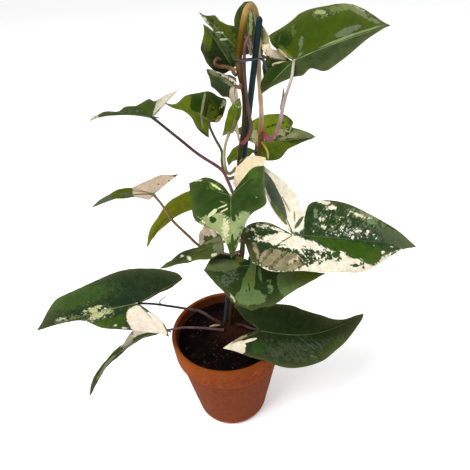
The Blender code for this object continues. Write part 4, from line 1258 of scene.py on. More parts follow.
        left=((47, 4), (39, 6), (34, 10), (30, 11.5), (24, 10.5), (17, 9), (9, 17), (-3, 23)),
        left_ear=(-22, 25), left_back=((-17, 18), (-8, 8)),
        right=((48, -3), (40, -3.5), (30, -4), (21, -6), (16, -13)), right_ear=(2, -20),
        right_back=((-2, -11),),
        fold=(14, 10), arch=10, sway=6,
        stalk=(
            (18.2, 11, 222), (-6, 10, 223), (-24, 8, 242), (-31, 5, 254), (-44, -2, 278), (-50, -7, 297),
            (-57, -10, 313),
        ),
        stalk_colours=((100, 50, 40), (200, 140, 60), (240, 170, 80)),
        slot="leaf_variegated", ground=(60, 82, 12), bright=(90, 130, 4), sage=(140, 160, 80),
        cream=(700, 550, 420),
        strokes=(
            ("bright", 29, 9, 12, 9, 0, 1, 8), ("sage", 47, 2, 11, 8, 0, 1, 8, (110, 130, 70)),
            ("sage", 24, 3, 8, 2, 10, 0.7, 4, (120, 140, 80)), ("cream", -2, 4, 20, 30, 0, 1, 12),
            ("tan", 8, 3, 10, 0.9, 15, 0.85, 8), ("dark", -5, 13, 1.2, 0.8, 60, 0.8),
            ("dark", -14, 17, 1.2, 0.8, 30, 0.9),
        ),
    ),
    Leaf(
        "leaf_backlit_left", (-9, 16, 291), (-77, 5, 243), -25,
        left=((75, 2), (60, 5), (39, 8), (21, 9)), left_ear=(-4, 13), left_back=((-5, 7),),
        right=((70, -7), (57, -9.5), (40, -12), (27, -14.5), (11, -14)), right_ear=(-12, -10),
        right_back=((-8, -4),),
        sway=-12,
        stalk=((20.8, 12, 284), (6, 16, 287), (-9, 16, 291)), stalk_colours=((140, 100, 30), (120, 120, 20)),
        # the olive-yellow ground and bright tones are partly the leaf's own green and partly painted back
        # light shining through it
        ground=(52, 76, 1), bright=(98, 110, 1), veins=0.2,
        strokes=(
            ("bright", 40, -2, 50, 16, 0, 1, 8), ("bright", 62, -2, 22, 8, 0, 0.6, 4, (125, 125, 1)),
            ("dark", 30, 9, 26, 2, -8, 0.6, 4, (60, 70, 4)),
        ),
    ),
    Leaf(
        "leaf_small_left", (3, -12, 257), (-60, -24, 237), -10,
        left=((36, 11), (20, 17)), left_ear=(2, 16), left_back=((1, 9),),
        right=((56, -4), (46, -6), (39, -6), (32, -5), (20, -5)), right_ear=(0, -11), right_back=((-1, -5),),
        stalk=((20.8, 8.8, 243), (12, -2, 250), (3, -12, 257)),
        stalk_colours=((160, 100, 60), (300, 200, 120)),
        ground=(55, 75, 14), sage=(100, 120, 55), cream=(600, 620, 460), veins=0.3,
        strokes=(
            ("sage", 4, 6, 9, 11, 0, 0.75, 4, (160, 180, 90)),
            ("sage", 10, -6, 14, 3, -8, 0.8, 4, (160, 180, 80)), ("cream", 12, 14, 3, 2, 0, 0.8),
            ("dark", 42, -1, 7, 5, 0, 0.8, 4, (30, 35, 15)), ("cream", 36, 5, 2, 4, 15, 0.85, 6),
            ("cream", 42, -2, 3, 2, 0, 0.62),
        ),
    ),
    Leaf(
        "leaf_cream_left", (-1, 3, 234), (-19, 1, 262), -50,
        left=((30, 9),), left_ear=(18, 13), left_back=((8, 6),),
        right=((32, -9),), right_ear=(11, -13), right_back=((5, -8),),
        arch=10,
        stalk=((19.4, 10.2, 228), (9, 6, 228), (-1, 3, 234)), stalk_radius=(1.4, 1.1),
        slot="leaf_variegated", ground=(30, 55, 14), sage=(110, 150, 60), cream=(800, 660, 480),
        strokes=(
            ("cream", 25, -2, 13, 13, 0, 1, 8), ("sage", 16, 2, 10, 7.5, -10, 1, 6, (85, 115, 45)),
            ("dark", 13, 0, 3, 8, 0, 0.5),
        ),
    ),
    Leaf(
        "leaf_bright_right", (41, 41, 335), (99, 33, 341), 72,
        left=((52, 5), (44, 9), (37, 12), (38, 17), (31, 24), (21, 26), (8, 25)), left_ear=(-20, 15),
        left_back=((-10, 6),),
        right=((47, -3), (38, -6), (31, -9), (24, -16), (16, -18)), right_ear=(5, -17),
        right_back=((-2, -10),),
        fold=(6, 6),
        stalk=((45.6, 30.4, 337), (45, 36, 334), (41, 41, 335)),
        ground=(44, 66, 6), bright=(66, 108, 2), sage=(170, 200, 60), cream=(420, 440, 220),
        strokes=(
            ("bright", 16, 12, 24, 15, 0, 1, 6, (210, 300, 12)),
            ("bright", 18, -10, 26, 9, 0, 1, 6, (125, 185, 12)),
            ("sage", 47, 4, 14, 6, -10, 0.95, 8, (190, 220, 100)),
            ("sage", 30, 3, 12, 2, 10, 0.8, 4, (340, 360, 170)), ("cream", 2, 6, 10, 7, 30, 0.72),
            ("cream", 28, 8, 9, 4, 25, 0.62), ("dark", 48, -1, 10, 1, 0, 0.85),
            ("dark", 22, 16, 12, 1, 10, 0.5), ("sage", 36, 12, 3, 1.2, 60, 0.8, 4, (400, 420, 220)),
            ("dark", -12, 9, 6, 6, 0, 0.6),
        ),
    ),
    Leaf(
        "leaf_upper_left", (-0.8, -1, 374), (-37, -8, 393), -50,
        left=((33, 3), (26, 3), (20.5, 5.5), (15, 8.5), (10, 13), (3, 16)), left_ear=(-1.5, 16),
        left_back=((-1.5, 8),),
        right=(
            (34, -1), (30, -3), (26, -9), (21.5, -12.5), (15, -17), (7, -22), (-4, -24), (-11, -25),
            (-13, -17),
        ),
        right_ear=(-13.5, -10.5), right_back=((-10, -3.5), (-4.5, -1.2)),
        arch=30, sway=-2,
        stalk=(
            (20.2, 8.2, 316), (12, 2, 318), (8.5, 1, 327), (7.6, 0, 336), (8, 0, 346), (3, 2, 357),
            (-0.6, 2.5, 367), (-0.8, -1, 374),
        ),
        stalk_radius=(1.5, 1.1), stalk_colours=((200, 160, 60), (110, 130, 50), (70, 90, 35)),
        ground=(22, 46, 3), bright=(58, 90, 3), sage=(260, 260, 150), cream=(500, 480, 300),
        strokes=(
            ("bright", 12, 7, 26, 9, -14, 1, 8, (120, 155, 10)),
            ("bright", 26, -5, 8, 6, 20, 1, 8, (120, 155, 6)), ("dark", 15, -8, 5, 8.5, 0, 1, 8, (22, 58, 2)),
            ("bright", 0, -8, 8, 8, -20, 0.8, 4, (90, 110, 8)), ("sage", 9.2, -9, 11, 1.2, -86, 1, 8),
            ("sage", 7, 5, 6.5, 1.1, -68, 1, 8), ("dark", 5.5, -10, 12, 1.4, -86, 0.8, 6, (35, 35, 6)),
            ("cream", -9, -2, 3, 2.5, 30, 0.9), ("cream", -8, -17, 4, 1.4, 60, 0.62),
            ("cream", -10.5, -21, 2, 3, 20, 0.72), ("sage", -10.5, -6, 5, 3.5, 60, 0.95, 6, (500, 360, 120)),
            ("dark", -4, -14, 6, 1, 48, 0.7), ("dark", 2, 15, 9, 1.4, -14, 0.8, 6, (30, 35, 6)),
        ),
    ),
    Leaf(
        "leaf_young", (16, -4, 364), (26, -8, 394), 75,
        left=((22, 5), (14, 6), (1, 6)), left_ear=(-7, 6), left_back=((-4, 3),),
        right=((23, -6), (13, -6)), right_ear=(1, -4), right_back=((0, -2),),
        fold=(10, 10), wave=(0.3, 7),
        stalk=((20.4, 7.8, 325), (14.5, -1, 324), (11, -5, 329), (10, -6, 342), (12, -6, 354), (16, -4, 364)),
        stalk_radius=(1.5, 1.2), stalk_colours=((240, 200, 100), (340, 340, 200), (300, 280, 160)),
        bright=(66, 102, 3), cream=(450, 500, 220), veins=0.4,
        strokes=(
            ("bright", 12, 2, 26, 8, 0, 1, 8, (100, 145, 1)),
            ("bright", 6, -3, 12, 2, -10, 0.9, 4, (130, 120, 45)),
            ("dark", 20, -5, 11, 2.2, 5, 0.9, 4, (55, 65, 4)), ("cream", 25, 0, 6, 4, 0, 0.42),
            ("sage", -4, 4, 5, 3, 0, 0.7, 4, (170, 190, 60)),
        ),
    ),
    Leaf(
        "leaf_curled", (23, -4, 402), (1, -14, 418), 40,
        left=((20, 2), (13, 4)), left_ear=(5, 7), left_back=((2, 4),),
        right=((17, -12), (9, -20), (-1, -21), (-6, -18)), right_ear=(-16, -24), right_back=((-11, -10),),
        stalk=((27.6, 5.2, 400), (26.5, 0, 399.5), (23, -4, 402)), stalk_radius=(1.4, 1.1),
        slot="leaf_variegated", ground=(14, 30, 7), sage=(160, 180, 80), cream=(800, 660, 560),
        strokes=(
            ("cream", -7, -10, 17, 4.5, 56, 1, 8), ("sage", 13, -1, 13, 2.6, 6, 0.9, 6, (300, 270, 210)),
            ("cream", 11, 2.5, 9, 1.6, -5, 0.62), ("sage", 18, -4, 7, 2, -20, 0.6, 4, (70, 90, 20)),
            ("dark", 5, 6, 6, 1.2, 0, 1, 8, (20, 14, 4)),
        ),
    ),
    Leaf(
        "leaf_cream_top", (53, 32, 415), (72, 22, 413), 48,
        left=((11, 6), (0, 9), (-6, 20)), left_ear=(-16, 30), left_back=((-13, 15),),
        right=((15, -5), (10, -13)), right_ear=(3, -19), right_back=((-2, -9),),
        arch=10,
        stalk=(
            (27, 6.4, 349), (31.5, 4, 355), (35.2, 5, 364), (34, 4, 375), (32, 3, 392), (31, 2, 413),
            (32, 3, 429), (35.5, 7, 436), (37, 13, 434), (39, 25, 427), (43, 33, 421), (49, 34, 416),
            (53, 32, 415),
        ),
        stalk_radius=(1.5, 1.1),
        stalk_colours=(
            (300, 70, 80), (120, 60, 55), (120, 60, 55), (100, 55, 50), (160, 80, 70), (260, 130, 110),
            (140, 80, 60),
        ),
        slot="leaf_variegated", ground=(20, 60, 10), bright=(75, 110, 20), cream=(800, 660, 480),
        strokes=(
            ("sage", -8, 19, 15, 7, 118, 1, 8, (340, 300, 150)),
            ("sage", -11, 19, 5, 2, 100, 0.7, 4, (100, 110, 30)),
            ("dark", -13, 23, 9, 1.5, 110, 0.85, 6, (40, 40, 10)), ("cream", 1, 6, 11, 5, -25, 1, 6),
            ("cream", 9, 4, 8, 2.6, -22, 1, 6), ("bright", 0, -6, 6, 6, 0, 0.9),
            ("cream", 11, -3.5, 6, 1, 18, 1, 8), ("cream", 5, -8.5, 5, 1.1, 58, 1, 8),
            ("dark", 8, -11, 6, 5, 50, 0.9), ("sage", 3, 9, 6, 2, 0, 0.4, 4, (420, 360, 200)),
        ),
    ),
    Leaf(
        "leaf_top_left", (27, 26, 424), (-3, 30, 453), -40,
        left=((35, 2), (25, 5), (18, 11), (9, 16)), left_ear=(-6, 9), left_back=((-4, 2),),
        right=((37, -1), (31, -8), (27, -6), (22, -8), (16, -12)), right_ear=(5, -18), right_back=((0, -9),),
        stalk=((28.6, 11.2, 427), (28, 19, 427), (27, 26, 424)), stalk_radius=(1.4, 1.1),
        ground=(30, 50, 8), bright=(55, 90, 10), sage=(140, 180, 90), cream=(600, 620, 450),
        strokes=(
            ("sage", 3, 8, 11, 9, 0, 0.95, 6, (80, 125, 45)),
            ("bright", 18, -3, 20, 8, -20, 0.85, 4, (85, 120, 10)), ("sage", 20, 5, 13, 6, -20, 0.62),
            ("cream", 14, 4, 6, 1, 55, 0.85), ("cream", 20, 2, 5, 0.9, 50, 0.8),
            ("cream", 26, 5, 5, 1, 40, 0.85), ("cream", 36, 1, 6, 1.2, 0, 0.7),
        ),
    ),
    Leaf(
        "leaf_top_back", (39, 57, 415), (36, 67, 456), 0,
        left=((38, 6), (34, 10), (27, 13), (15, 15)), left_ear=(1, 13), left_back=((-1, 6),),
        right=((41, -7), (36, -10), (28, -12), (19, -12), (8, -14)), right_ear=(-2, -12),
        right_back=((-2, -6),),
        fold=(12, 12),
        stalk=((31, 12.6, 437), (35, 28, 432), (39, 46, 417), (39, 57, 415)), stalk_radius=(1.4, 1.1),
        ground=(40, 62, 10), bright=(60, 90, 12),
        strokes=(
            ("bright", 18, 4, 16, 9, 0, 0.6), ("sage", 25, -3, 12, 1.8, -8, 0.85, 4, (270, 300, 150)),
        ),
    ),
    Leaf(
        "leaf_narrow_left", (22, 12, 412), (1, 8, 447), -65,
        left=((34, 8), (30, 16), (24, 17), (16, 19)), left_ear=(4, 12), left_back=((1, 5),),
        right=((36, -2), (26, -3), (12, -4)), right_ear=(3, -5), right_back=((0, -2),),
        stalk=((24.4, 10.4, 407), (22, 12.5, 409), (22, 12, 412)), stalk_radius=(1.2, 1.0),
        ground=(20, 36, 8), bright=(60, 95, 12), sage=(70, 90, 50),
        strokes=(
            ("bright", 32, 5, 10, 4, -45, 1, 6, (85, 125, 4)),
            ("bright", 15, -1.5, 14, 2.5, 3, 0.9, 4, (75, 105, 35)), ("sage", 28, 12, 5, 1.5, -60, 0.6),
        ),
    ),
    Leaf(
        "leaf_cream_middle", (20, -14, 315), (47, -5, 339), 45,
        left=((33, 7), (24, 14), (15, 14)), left_ear=(1, 6), left_back=((-1, 2),),
        right=((32, -3), (17, -3)), right_ear=(1, -3), right_back=((-1, -2),),
        arch=20, wave=(0.3, 7),
        stalk=((25, 7.4, 306), (23, -5, 308), (20, -14, 315)), stalk_radius=(1.4, 1.1),
        stalk_colours=((400, 260, 120), (550, 400, 220)),
        slot="leaf_cream", ground=(120, 140, 40), cream=(900, 760, 520),
        strokes=(
            ("cream", 16, 3, 40, 30, 0, 1), ("sage", 20, 1, 12, 1.6, 0, 0.42),
            ("dark", 20, 13.6, 7, 1.1, -4, 1, 8, (60, 30, 10)),
        ),
    ),
    Leaf(
        "leaf_behind_stake", (27.5, 38, 331), (12.5, 30, 318), 0,
        left=((12, 6), (3, 18)), left_ear=(-5, 20), left_back=((-4, 6),),
        right=((14, -9), (5, -10)), right_ear=(-2, -10), right_back=((-2, -6),),
        stalk=((40.6, 29.8, 330), (35, 36, 331), (27.5, 38, 331)), stalk_radius=(1.3, 1.1),
        ground=(85, 130, 4),
    ),
)
print(len(LEAVES), "leaves")

# %% [markdown]
# ## From flat leaf to held leaf
# A flat leaf could be bent with a lattice or a curve, but then its base would no longer
# meet the stalk. So the bend is a formula, and the midrib of the stalk's piece follows
# the same one. The margin is drawn as smooth stretches, and its corners, the ears and the
# point, stay sharp.

# %% Margin and bend
CREASE = 2.2


def margin(leaf, count):
    """The edge as smooth stretches between base, ear tips and point, and the blade's length.

    An arc of that arch is longer than its chord by the half angle over its sine.
    """
    chord = np.linalg.norm(np.subtract(leaf.tip, leaf.base))
    length = chord / np.sinc(np.radians(leaf.arch) / 2 / np.pi)
    base, point = (0, 0), (length, 0)
    stretches = (
        (base, *leaf.right_back[::-1], leaf.right_ear),
        (leaf.right_ear, *leaf.right[::-1], point),
        (point, *leaf.left, leaf.left_ear),
        (leaf.left_ear, *leaf.left_back, base),
    )
    reach = np.array([np.linalg.norm(np.diff(s, axis=0), axis=1).sum() for s in stretches])
    steps = np.maximum(8, np.round(reach / reach.sum() * count)).astype(int)
    edge = [smooth_route(s, n + 1)[1:] for s, n in zip(stretches, steps)]
    return np.vstack(edge)[:-1], length


def bent(leaf, along, across, share, turn, length):
    """Flat points moved to where the leaf holds them.

    Lift is |across| times the sine of the fold, softened at the crease, plus a wave at
    the edge. The arch turns by an angle that grows with along. The midrib bows sideways
    as half a sine, and base to tip is laid on the leaf's own direction and rolled.
    """
    left_share = 0.5 + 0.5 * np.tanh(across / CREASE)
    fold = np.radians(leaf.fold[1] + (leaf.fold[0] - leaf.fold[1]) * left_share)
    sideways = across * np.cos(fold)
    lift = (np.sqrt(across**2 + CREASE**2) - CREASE) * np.sin(fold)
    lift += leaf.wave[0] * share**2 * np.sin(2 * np.pi * leaf.wave[1] * turn)
    sideways = sideways + leaf.sway * np.sin(np.pi * np.clip(along / length, 0, 1))
    angle = np.radians(leaf.arch) * along / length + 1e-9
    forward = along * np.sin(angle) / angle + lift * np.sin(angle)
    height = lift * np.cos(angle) - along * (1 - np.cos(angle)) / angle
    half = np.radians(leaf.arch) / 2
    forward, height = (
        forward * np.cos(half) - height * np.sin(half),
        forward * np.sin(half) + height * np.cos(half),
    )
    ahead = unit(np.subtract(leaf.tip, leaf.base).astype(float))
    side = unit(np.cross((0, 0, 1.0), ahead))
    up = np.cross(ahead, side)
    roll = np.radians(leaf.roll)
    across_way = side * np.cos(roll) + up * np.sin(roll)
    up_way = up * np.cos(roll) - side * np.sin(roll)
    moved = np.array(leaf.base, float) + forward[..., None] * ahead + sideways[..., None] * across_way
    return moved + height[..., None] * up_way, up_way


lengths = [margin(leaf, 60)[1] for leaf in LEAVES]
print("blades from", round(min(lengths)), "to", round(max(lengths)), "mm long")

# %% [markdown]
# ## Places by the nearest rib
# Three ribs run through the leaf: one to the point and one into each ear. Side veins
# leave them at a slant and curve forwards. They could be drawn as lines, but there are
# hundreds. Instead each point of the leaf is told how far along the veins' rhythm it is
# and how far from its own rib, and the material draws the veins from that.

# %% Places by the nearest rib
LATERAL_SLANT = 0.85
EAR_SHIFT = 0.37


def rib_places(leaf, along, across, spacing):
    """For each flat point: its place between side veins, its distance from its rib, and
    a number that falls to 0 where the ground of one rib meets the next.

    The place is (along - slant * |across|) / spacing, measured from the nearest rib.
    """
    angle = np.arctan2(across, along)
    t = (along - LATERAL_SLANT * np.abs(across) * (1 - 0.004 * np.abs(across))) / spacing
    beside, clear = across.copy(), np.ones_like(across)
    for ear, sign in ((leaf.left_ear, 1), (leaf.right_ear, -1)):
        ear_angle = np.arctan2(ear[1], ear[0])
        limit = 0.62 * ear_angle
        inside = (angle - limit) * sign > 0
        way = np.array((np.cos(ear_angle), np.sin(ear_angle)))
        ear_along = along * way[0] + across * way[1]
        ear_across = across * way[0] - along * way[1]
        ear_t = (ear_along - LATERAL_SLANT * np.abs(ear_across)) / spacing + EAR_SHIFT
        t = np.where(inside, ear_t, t)
        beside = np.where(inside, ear_across, beside)
        gap = np.abs(angle - limit) * np.hypot(along, across)
        clear = np.minimum(clear, np.clip(gap / 2.5, 0, 1))
    return t, beside, clear


tip_place = rib_places(LEAVES[0], np.array(60.0), np.array(0.0), 10)[0]
print("60 mm along the midrib is", tip_place, "side veins from the base")

# %% [markdown]
# ## Painted strokes
# Marbling comes from layers of the leaf that lost their green, so it has clear patches
# and clouded ones. It could be painted by hand on an image, but strokes given as ovals
# stay sharp at any size. Each point of the leaf adds up the strokes that reach it.

# %% Painted strokes
KINDS = dict(zip(("cream", "sage", "bright", "tan"), np.eye(4)), dark=np.zeros(4))
TONES = ("ground", "bright", "sage", "cream")
SOFT, CRISP = 4, 8


def painted(leaf, along, across):
    """Strokes laid over one another, each weighing strength / (1 + d**crisp), where d is 1
    on its oval rim.

    Returns the share of each kind, the local tone of each kind, and the calm, which is 1
    near crisp strokes, whose edges the marbling leaves alone.
    """
    paint = np.zeros((*along.shape, 4))
    calm = np.zeros((*along.shape, 1))
    tones = {kind: np.tile(getattr(leaf, kind), (*along.shape, 1)) * THOUSANDTH for kind in TONES}
    for stroke in leaf.strokes:
        kind, at, beside, reach, breadth, turn, strength = stroke[:7]
        crisp = stroke[7] if len(stroke) > 7 else SOFT
        turn = np.radians(turn)
        x, y = along - at, across - beside
        ahead = (x * np.cos(turn) + y * np.sin(turn)) / reach
        aside = (y * np.cos(turn) - x * np.sin(turn)) / breadth
        d = np.hypot(ahead, aside)[..., None]
        weight = strength / (1 + d**crisp)
        near = 1 / (1 + (d / 1.3) ** 6)
        paint = paint * (1 - weight) + weight * KINDS[kind]
        calm = calm * (1 - near) + near * (crisp >= CRISP)
        if len(stroke) > 8:
            tone = "ground" if kind == "dark" else kind
            tones[tone] = tones[tone] * (1 - near) + near * np.multiply(stroke[8], THOUSANDTH)
    return paint, tones, calm


print("strokes in all:", sum(len(leaf.strokes) for leaf in LEAVES))

# %% [markdown]
# ## The blade
# A leaf is a thin sheet, quilted between its side veins and creased at its ribs. A flat
# face with a bump map would look like card at the edge. The grid's columns fan out from
# the base to points along the margin, and its rows step outwards. The sheet gets its
# thickness along its own normals, thin at the margin, so it closes into one skin.

# %% Blade
FIRST_RING = 0.03
SHEET = 0.5
MARGIN_SHEET = 0.16
QUILT = 0.16
RIB_GROOVE = 0.35
UV_APART = 7.3


def slab_faces(rows, columns):
    """A closed skin from an upper grid, a lower grid and the strip between their edges."""
    count = rows * columns
    number = np.arange(count).reshape(rows, columns)
    rim = np.concatenate((number[0], number[1:, -1], number[-1, -2::-1], number[-2:0:-1, 0]))
    after = np.roll(rim, -1)
    upper = grid_faces(rows, columns)
    strip = np.stack((after, rim, rim + count, after + count), axis=-1)
    return [upper, upper[:, ::-1] + count, strip]


def blade(leaf, seed, rows, columns, spacing):
    """The blade's object, with its flat places, rib places, paint and side stored on it.

    The quilting is |sin(pi t)| between side veins, and a groove exp(-d**2) runs on each rib.
    """
    edge, length = margin(leaf, columns)
    columns = len(edge)
    share = (FIRST_RING + (1 - FIRST_RING) * np.linspace(0, 1, rows) ** 0.9)[:, None]
    turn = np.linspace(0, 1, columns)[None, :]
    along, across = edge[:, 0] * share, edge[:, 1] * share
    t, beside, clear = rib_places(leaf, along, across, spacing)
    flat = np.stack((along, across), axis=-1)
    middle, up_way = bent(leaf, along, across, share, turn, length)
    normal = unit(np.cross(np.gradient(middle, axis=0), np.gradient(middle, axis=1)))
    normal *= np.sign((normal * up_way).sum(axis=-1).mean())
    near_rib = np.exp(-((beside / 1.1) ** 2))
    inner = np.clip((1 - share) * 6, 0, 1) * np.clip(np.hypot(along, across) / 6, 0, 1)
    quilt = QUILT * np.abs(np.sin(np.pi * t)) * np.clip(np.abs(beside) / 5, 0, 1) * clear * inner
    sway = 0.8 * uneven(flat, 26, seed) * share**1.5 + 0.25 * uneven(flat, 9, seed + 50) * share
    middle = middle + normal * (quilt + sway - RIB_GROOVE * near_rib * inner)[..., None]
    sheet = (MARGIN_SHEET + (SHEET - MARGIN_SHEET) * np.clip((1 - share) * 10, 0, 1))[..., None] / 2
    points = np.stack((middle + normal * sheet, middle - normal * sheet)).reshape(-1, 3)
    piece = add_mesh(leaf.name + "_blade", points, slab_faces(rows, columns), 70)
    put_uv(piece, "flat", np.tile(flat.reshape(-1, 2) / 10 + seed * UV_APART, (2, 1)))
    put_uv(piece, "ribs", np.tile(np.stack((t, beside / 10), axis=-1).reshape(-1, 2), (2, 1)))
    paint, tones, calm = painted(leaf, along, across)
    for label, tone in (("paint", paint[..., :3]), *tones.items()):
        put_values(piece, label, np.tile(tone.reshape(-1, 3), (2, 1)))
    midrib = leaf.veins / (1 + np.abs(np.arctan2(across, along)) ** 8)
    edge_share = np.broadcast_to(share**8, along.shape)
    numbers = {
        "tan": paint[..., 3], "calm": calm, "clear": clear * inner, "main": midrib, "edge": edge_share,
    }
    for label, values in numbers.items():
        put_values(piece, label, np.tile(values.ravel(), 2))
    put_values(piece, "under", np.repeat((0.0, 1.0), len(points) // 2))
    return piece, length, up_way


print("a 3 by 4 slab closes with", sum(len(f) for f in slab_faces(3, 4)), "faces")

# %% [markdown]
# ## Stalk and ribs
# The stalk clasps the stem with a flared foot, thins upwards, and thickens again in a
# small joint where it meets the blade. It runs on under the blade as the midrib, and two
# thinner ribs enter the ears. The ribs could be raised from the blade's own grid, but they
# are rounder than its spacing allows, so all of these are tubes of one piece.

# %% Stalk
STALK_ROWS = 60
RIB_ROWS = 9
MIDRIB_REACH = 0.82
EAR_RIB_REACH = 0.8
RIB_DYE = (160, 200, 80)


def join_tubes(parts):
    """Several tubes as one set of points, faces and shares."""
    points, faces, shares, offset = [], [], [], 0
    for part_points, part_faces, share in parts:
        points.append(part_points)
        faces += [f + offset for f in part_faces]
        shares.append(share)
        offset += len(part_points)
    return np.vstack(points), faces, shares


def under_rib(leaf, end, length, up_way, radius):
    """A route just under the blade from its base to a flat point, thinning as it goes."""
    share = np.linspace(0.0, 1, RIB_ROWS)
    along, across = end[0] * share, end[1] * share
    path = bent(leaf, along, across, share * 0.5, np.zeros(RIB_ROWS), length)[0]
    girth = radius * (1 - 0.72 * share)
    drop = (girth * 0.35 + 0.25)[:, None] * up_way
    return np.column_stack((path - drop, girth))


def stalk_relief(along, around):
    """Five faint ridges, a slow sway, and a narrow groove along one side."""
    ridges = 0.04 * np.cos(5 * around + 0.02 * along) + 0.03 * np.sin(along / 3.3 + around)
    return ridges - 0.10 * np.exp(-((np.cos((around - 1.6) / 2) / 0.12) ** 2))


def stalk(leaf, length, up_way):
    """The stalk's object: its girth swells by exp(-d**2) at the foot and at the blade."""
    start, end = leaf.stalk_radius
    places = smooth_route(leaf.stalk, STALK_ROWS)
    share = np.linspace(0, 1, STALK_ROWS)
    reach = np.linalg.norm(np.diff(places, axis=0), axis=1).sum()
    girth = start + (end - start) * share
    girth = girth * (1 + 0.30 * np.exp(-((share * reach / 7) ** 2)))
    girth = girth * (1 + 0.22 * np.exp(-(((1 - share) * reach / 5) ** 2)))
    parts = [tube(np.column_stack((places, girth)), 20, 1.2, stalk_relief)]
    ribs = [((length * MIDRIB_REACH, 0), end * 0.75)]
    ribs += [(np.multiply(ear, EAR_RIB_REACH), end * 0.55) for ear in (leaf.left_ear, leaf.right_ear)]
    parts += [tube(under_rib(leaf, to, length, up_way, size), 10, 1.6) for to, size in ribs]
    points, faces, shares = join_tubes(parts)
    piece = add_mesh(leaf.name + "_stalk", points, faces, 60)
    stops = np.multiply(leaf.stalk_colours, THOUSANDTH)
    at = np.linspace(0, 1, len(stops))
    rib_tint = leaf.veins * np.array(RIB_DYE) + (1 - leaf.veins) * np.array(leaf.ground)
    tints = [tinted(shares[0], tuple(zip(at, stops)))]
    tints += [np.tile(rib_tint * THOUSANDTH, (len(s), 1)) for s in shares[1:]]
    put_values(piece, "tint", np.vstack(tints))
    return piece


print("longest stalk:", max(len(leaf.stalk) for leaf in LEAVES), "points")

# %% [markdown]
# ## Veins
# Fine veins run between the side veins, and a net of cells lies over everything. They
# could be modelled, but they are thinner than the grid's spacing. All leaves share them,
# so they are a node group. It turns each point's rib place into masks and a relief.

# %% Vein group
vein_sockets = ["Midrib", "Laterals", "Relief", "Net"]
veins, g_in, g_out = new_group("leaf_veins", [("Rib Width", 0.05)], vein_sockets)
ribs = put(veins, "SeparateXYZ", [(0, put(veins, "UVMap", uv_map="ribs").outputs[0])]).outputs
clear = stored(veins, "clear", "Fac")
rib_reach = step_up(veins, maths(veins, "ABSOLUTE", ribs["Y"]), 0.0, times(veins, g_in["Rib Width"], 2.0))
swell = maths(veins, "PINGPONG", ribs["X"], 0.5)
side_vein = times(veins, step_up(veins, swell, 0.07, 0.0), clear)
fine_swell = maths(veins, "PINGPONG", times(veins, ribs["X"], 3.0), 0.5)
fine_vein = times(veins, step_up(veins, fine_swell, 0.12, 0.0), times(veins, clear, 0.4))
flat_place = put(veins, "UVMap", uv_map="flat").outputs[0]
cell_inputs = [("Vector", flat_place), ("Scale", 5.0)]
cells = put(veins, "TexVoronoi", cell_inputs, feature="DISTANCE_TO_EDGE").outputs["Distance"]
veins.links.new(maths(veins, "SUBTRACT", 1.0, rib_reach), g_out["Midrib"])
veins.links.new(maths(veins, "MAXIMUM", side_vein, fine_vein), g_out["Laterals"])
veins.links.new(plus(veins, times(veins, fine_swell, 0.6), times(veins, cells, 0.8)), g_out["Relief"])
veins.links.new(step_up(veins, cells, 0.0, 0.25), g_out["Net"])
print("vein group:", len(veins.nodes), "nodes")

# %% [markdown]
# ## Marbling
# A marbled leaf's patches end in jagged edges that follow the side veins. Strokes alone
# would look airbrushed. So the paint on the leaf says where a colour is likely, and noise
# stretched along the veins decides the exact edge. A half-strength stroke becomes flecks.

# %% Marbling group
marble_inputs = [("Paint", 0.0), ("Jag", 0.5), ("Shift", 0.0), ("Softness", 0.06)]
marble, g_in, g_out = new_group("leaf_marbling", marble_inputs, ["Patch", "Fringe"])
ribs = put(marble, "UVMap", uv_map="ribs").outputs[0]
flat_place = put(marble, "UVMap", uv_map="flat").outputs[0]
shift = put(marble, "CombineXYZ", [(2, g_in["Shift"])]).outputs[0]
moved = put(marble, "VectorMath", [(0, flat_place), (1, shift)], operation="ADD").outputs[0]
along_veins = put(marble, "Mapping", [("Vector", ribs), ("Scale", (3.2, 1.0, 1))]).outputs[0]
streaks = noise(marble, along_veins, 1.5, 2.0, 0.6)
clumps = noise(marble, moved, 2.4, 2.0, 0.55)
flecks = noise(marble, moved, 5.5, 2.0, 0.6)
push = 0.0
for cloud, weight in ((streaks, 0.7), (clumps, 0.9), (flecks, 0.75)):
    push = plus(marble, push, times(marble, maths(marble, "SUBTRACT", cloud, 0.5), weight))
level = plus(marble, g_in["Paint"], times(marble, push, g_in["Jag"]))
below, above = (maths(marble, way, 0.5, g_in["Softness"]) for way in ("SUBTRACT", "ADD"))
marble.links.new(step_up(marble, level, below, above), g_out["Patch"])
marble.links.new(step_up(marble, level, 0.28, 0.46), g_out["Fringe"])
print("marbling group:", len(marble.nodes), "nodes")

# %% [markdown]
# ## Leaf materials
# Under its marbling a leaf is green and a little cloudy, with a paler, duller underside
# and a light rim. Each leaf could have its own material, but its colours are already on
# its points. So three materials serve all: one for green leaves, one for marbled leaves
# and one for leaves that are nearly all cream.

# %% Leaf materials
TAN = (0.34, 0.28, 0.17)
UNDERSIDE = (0.09, 0.13, 0.05)
LEAF_RIM = (0.20, 0.22, 0.08)


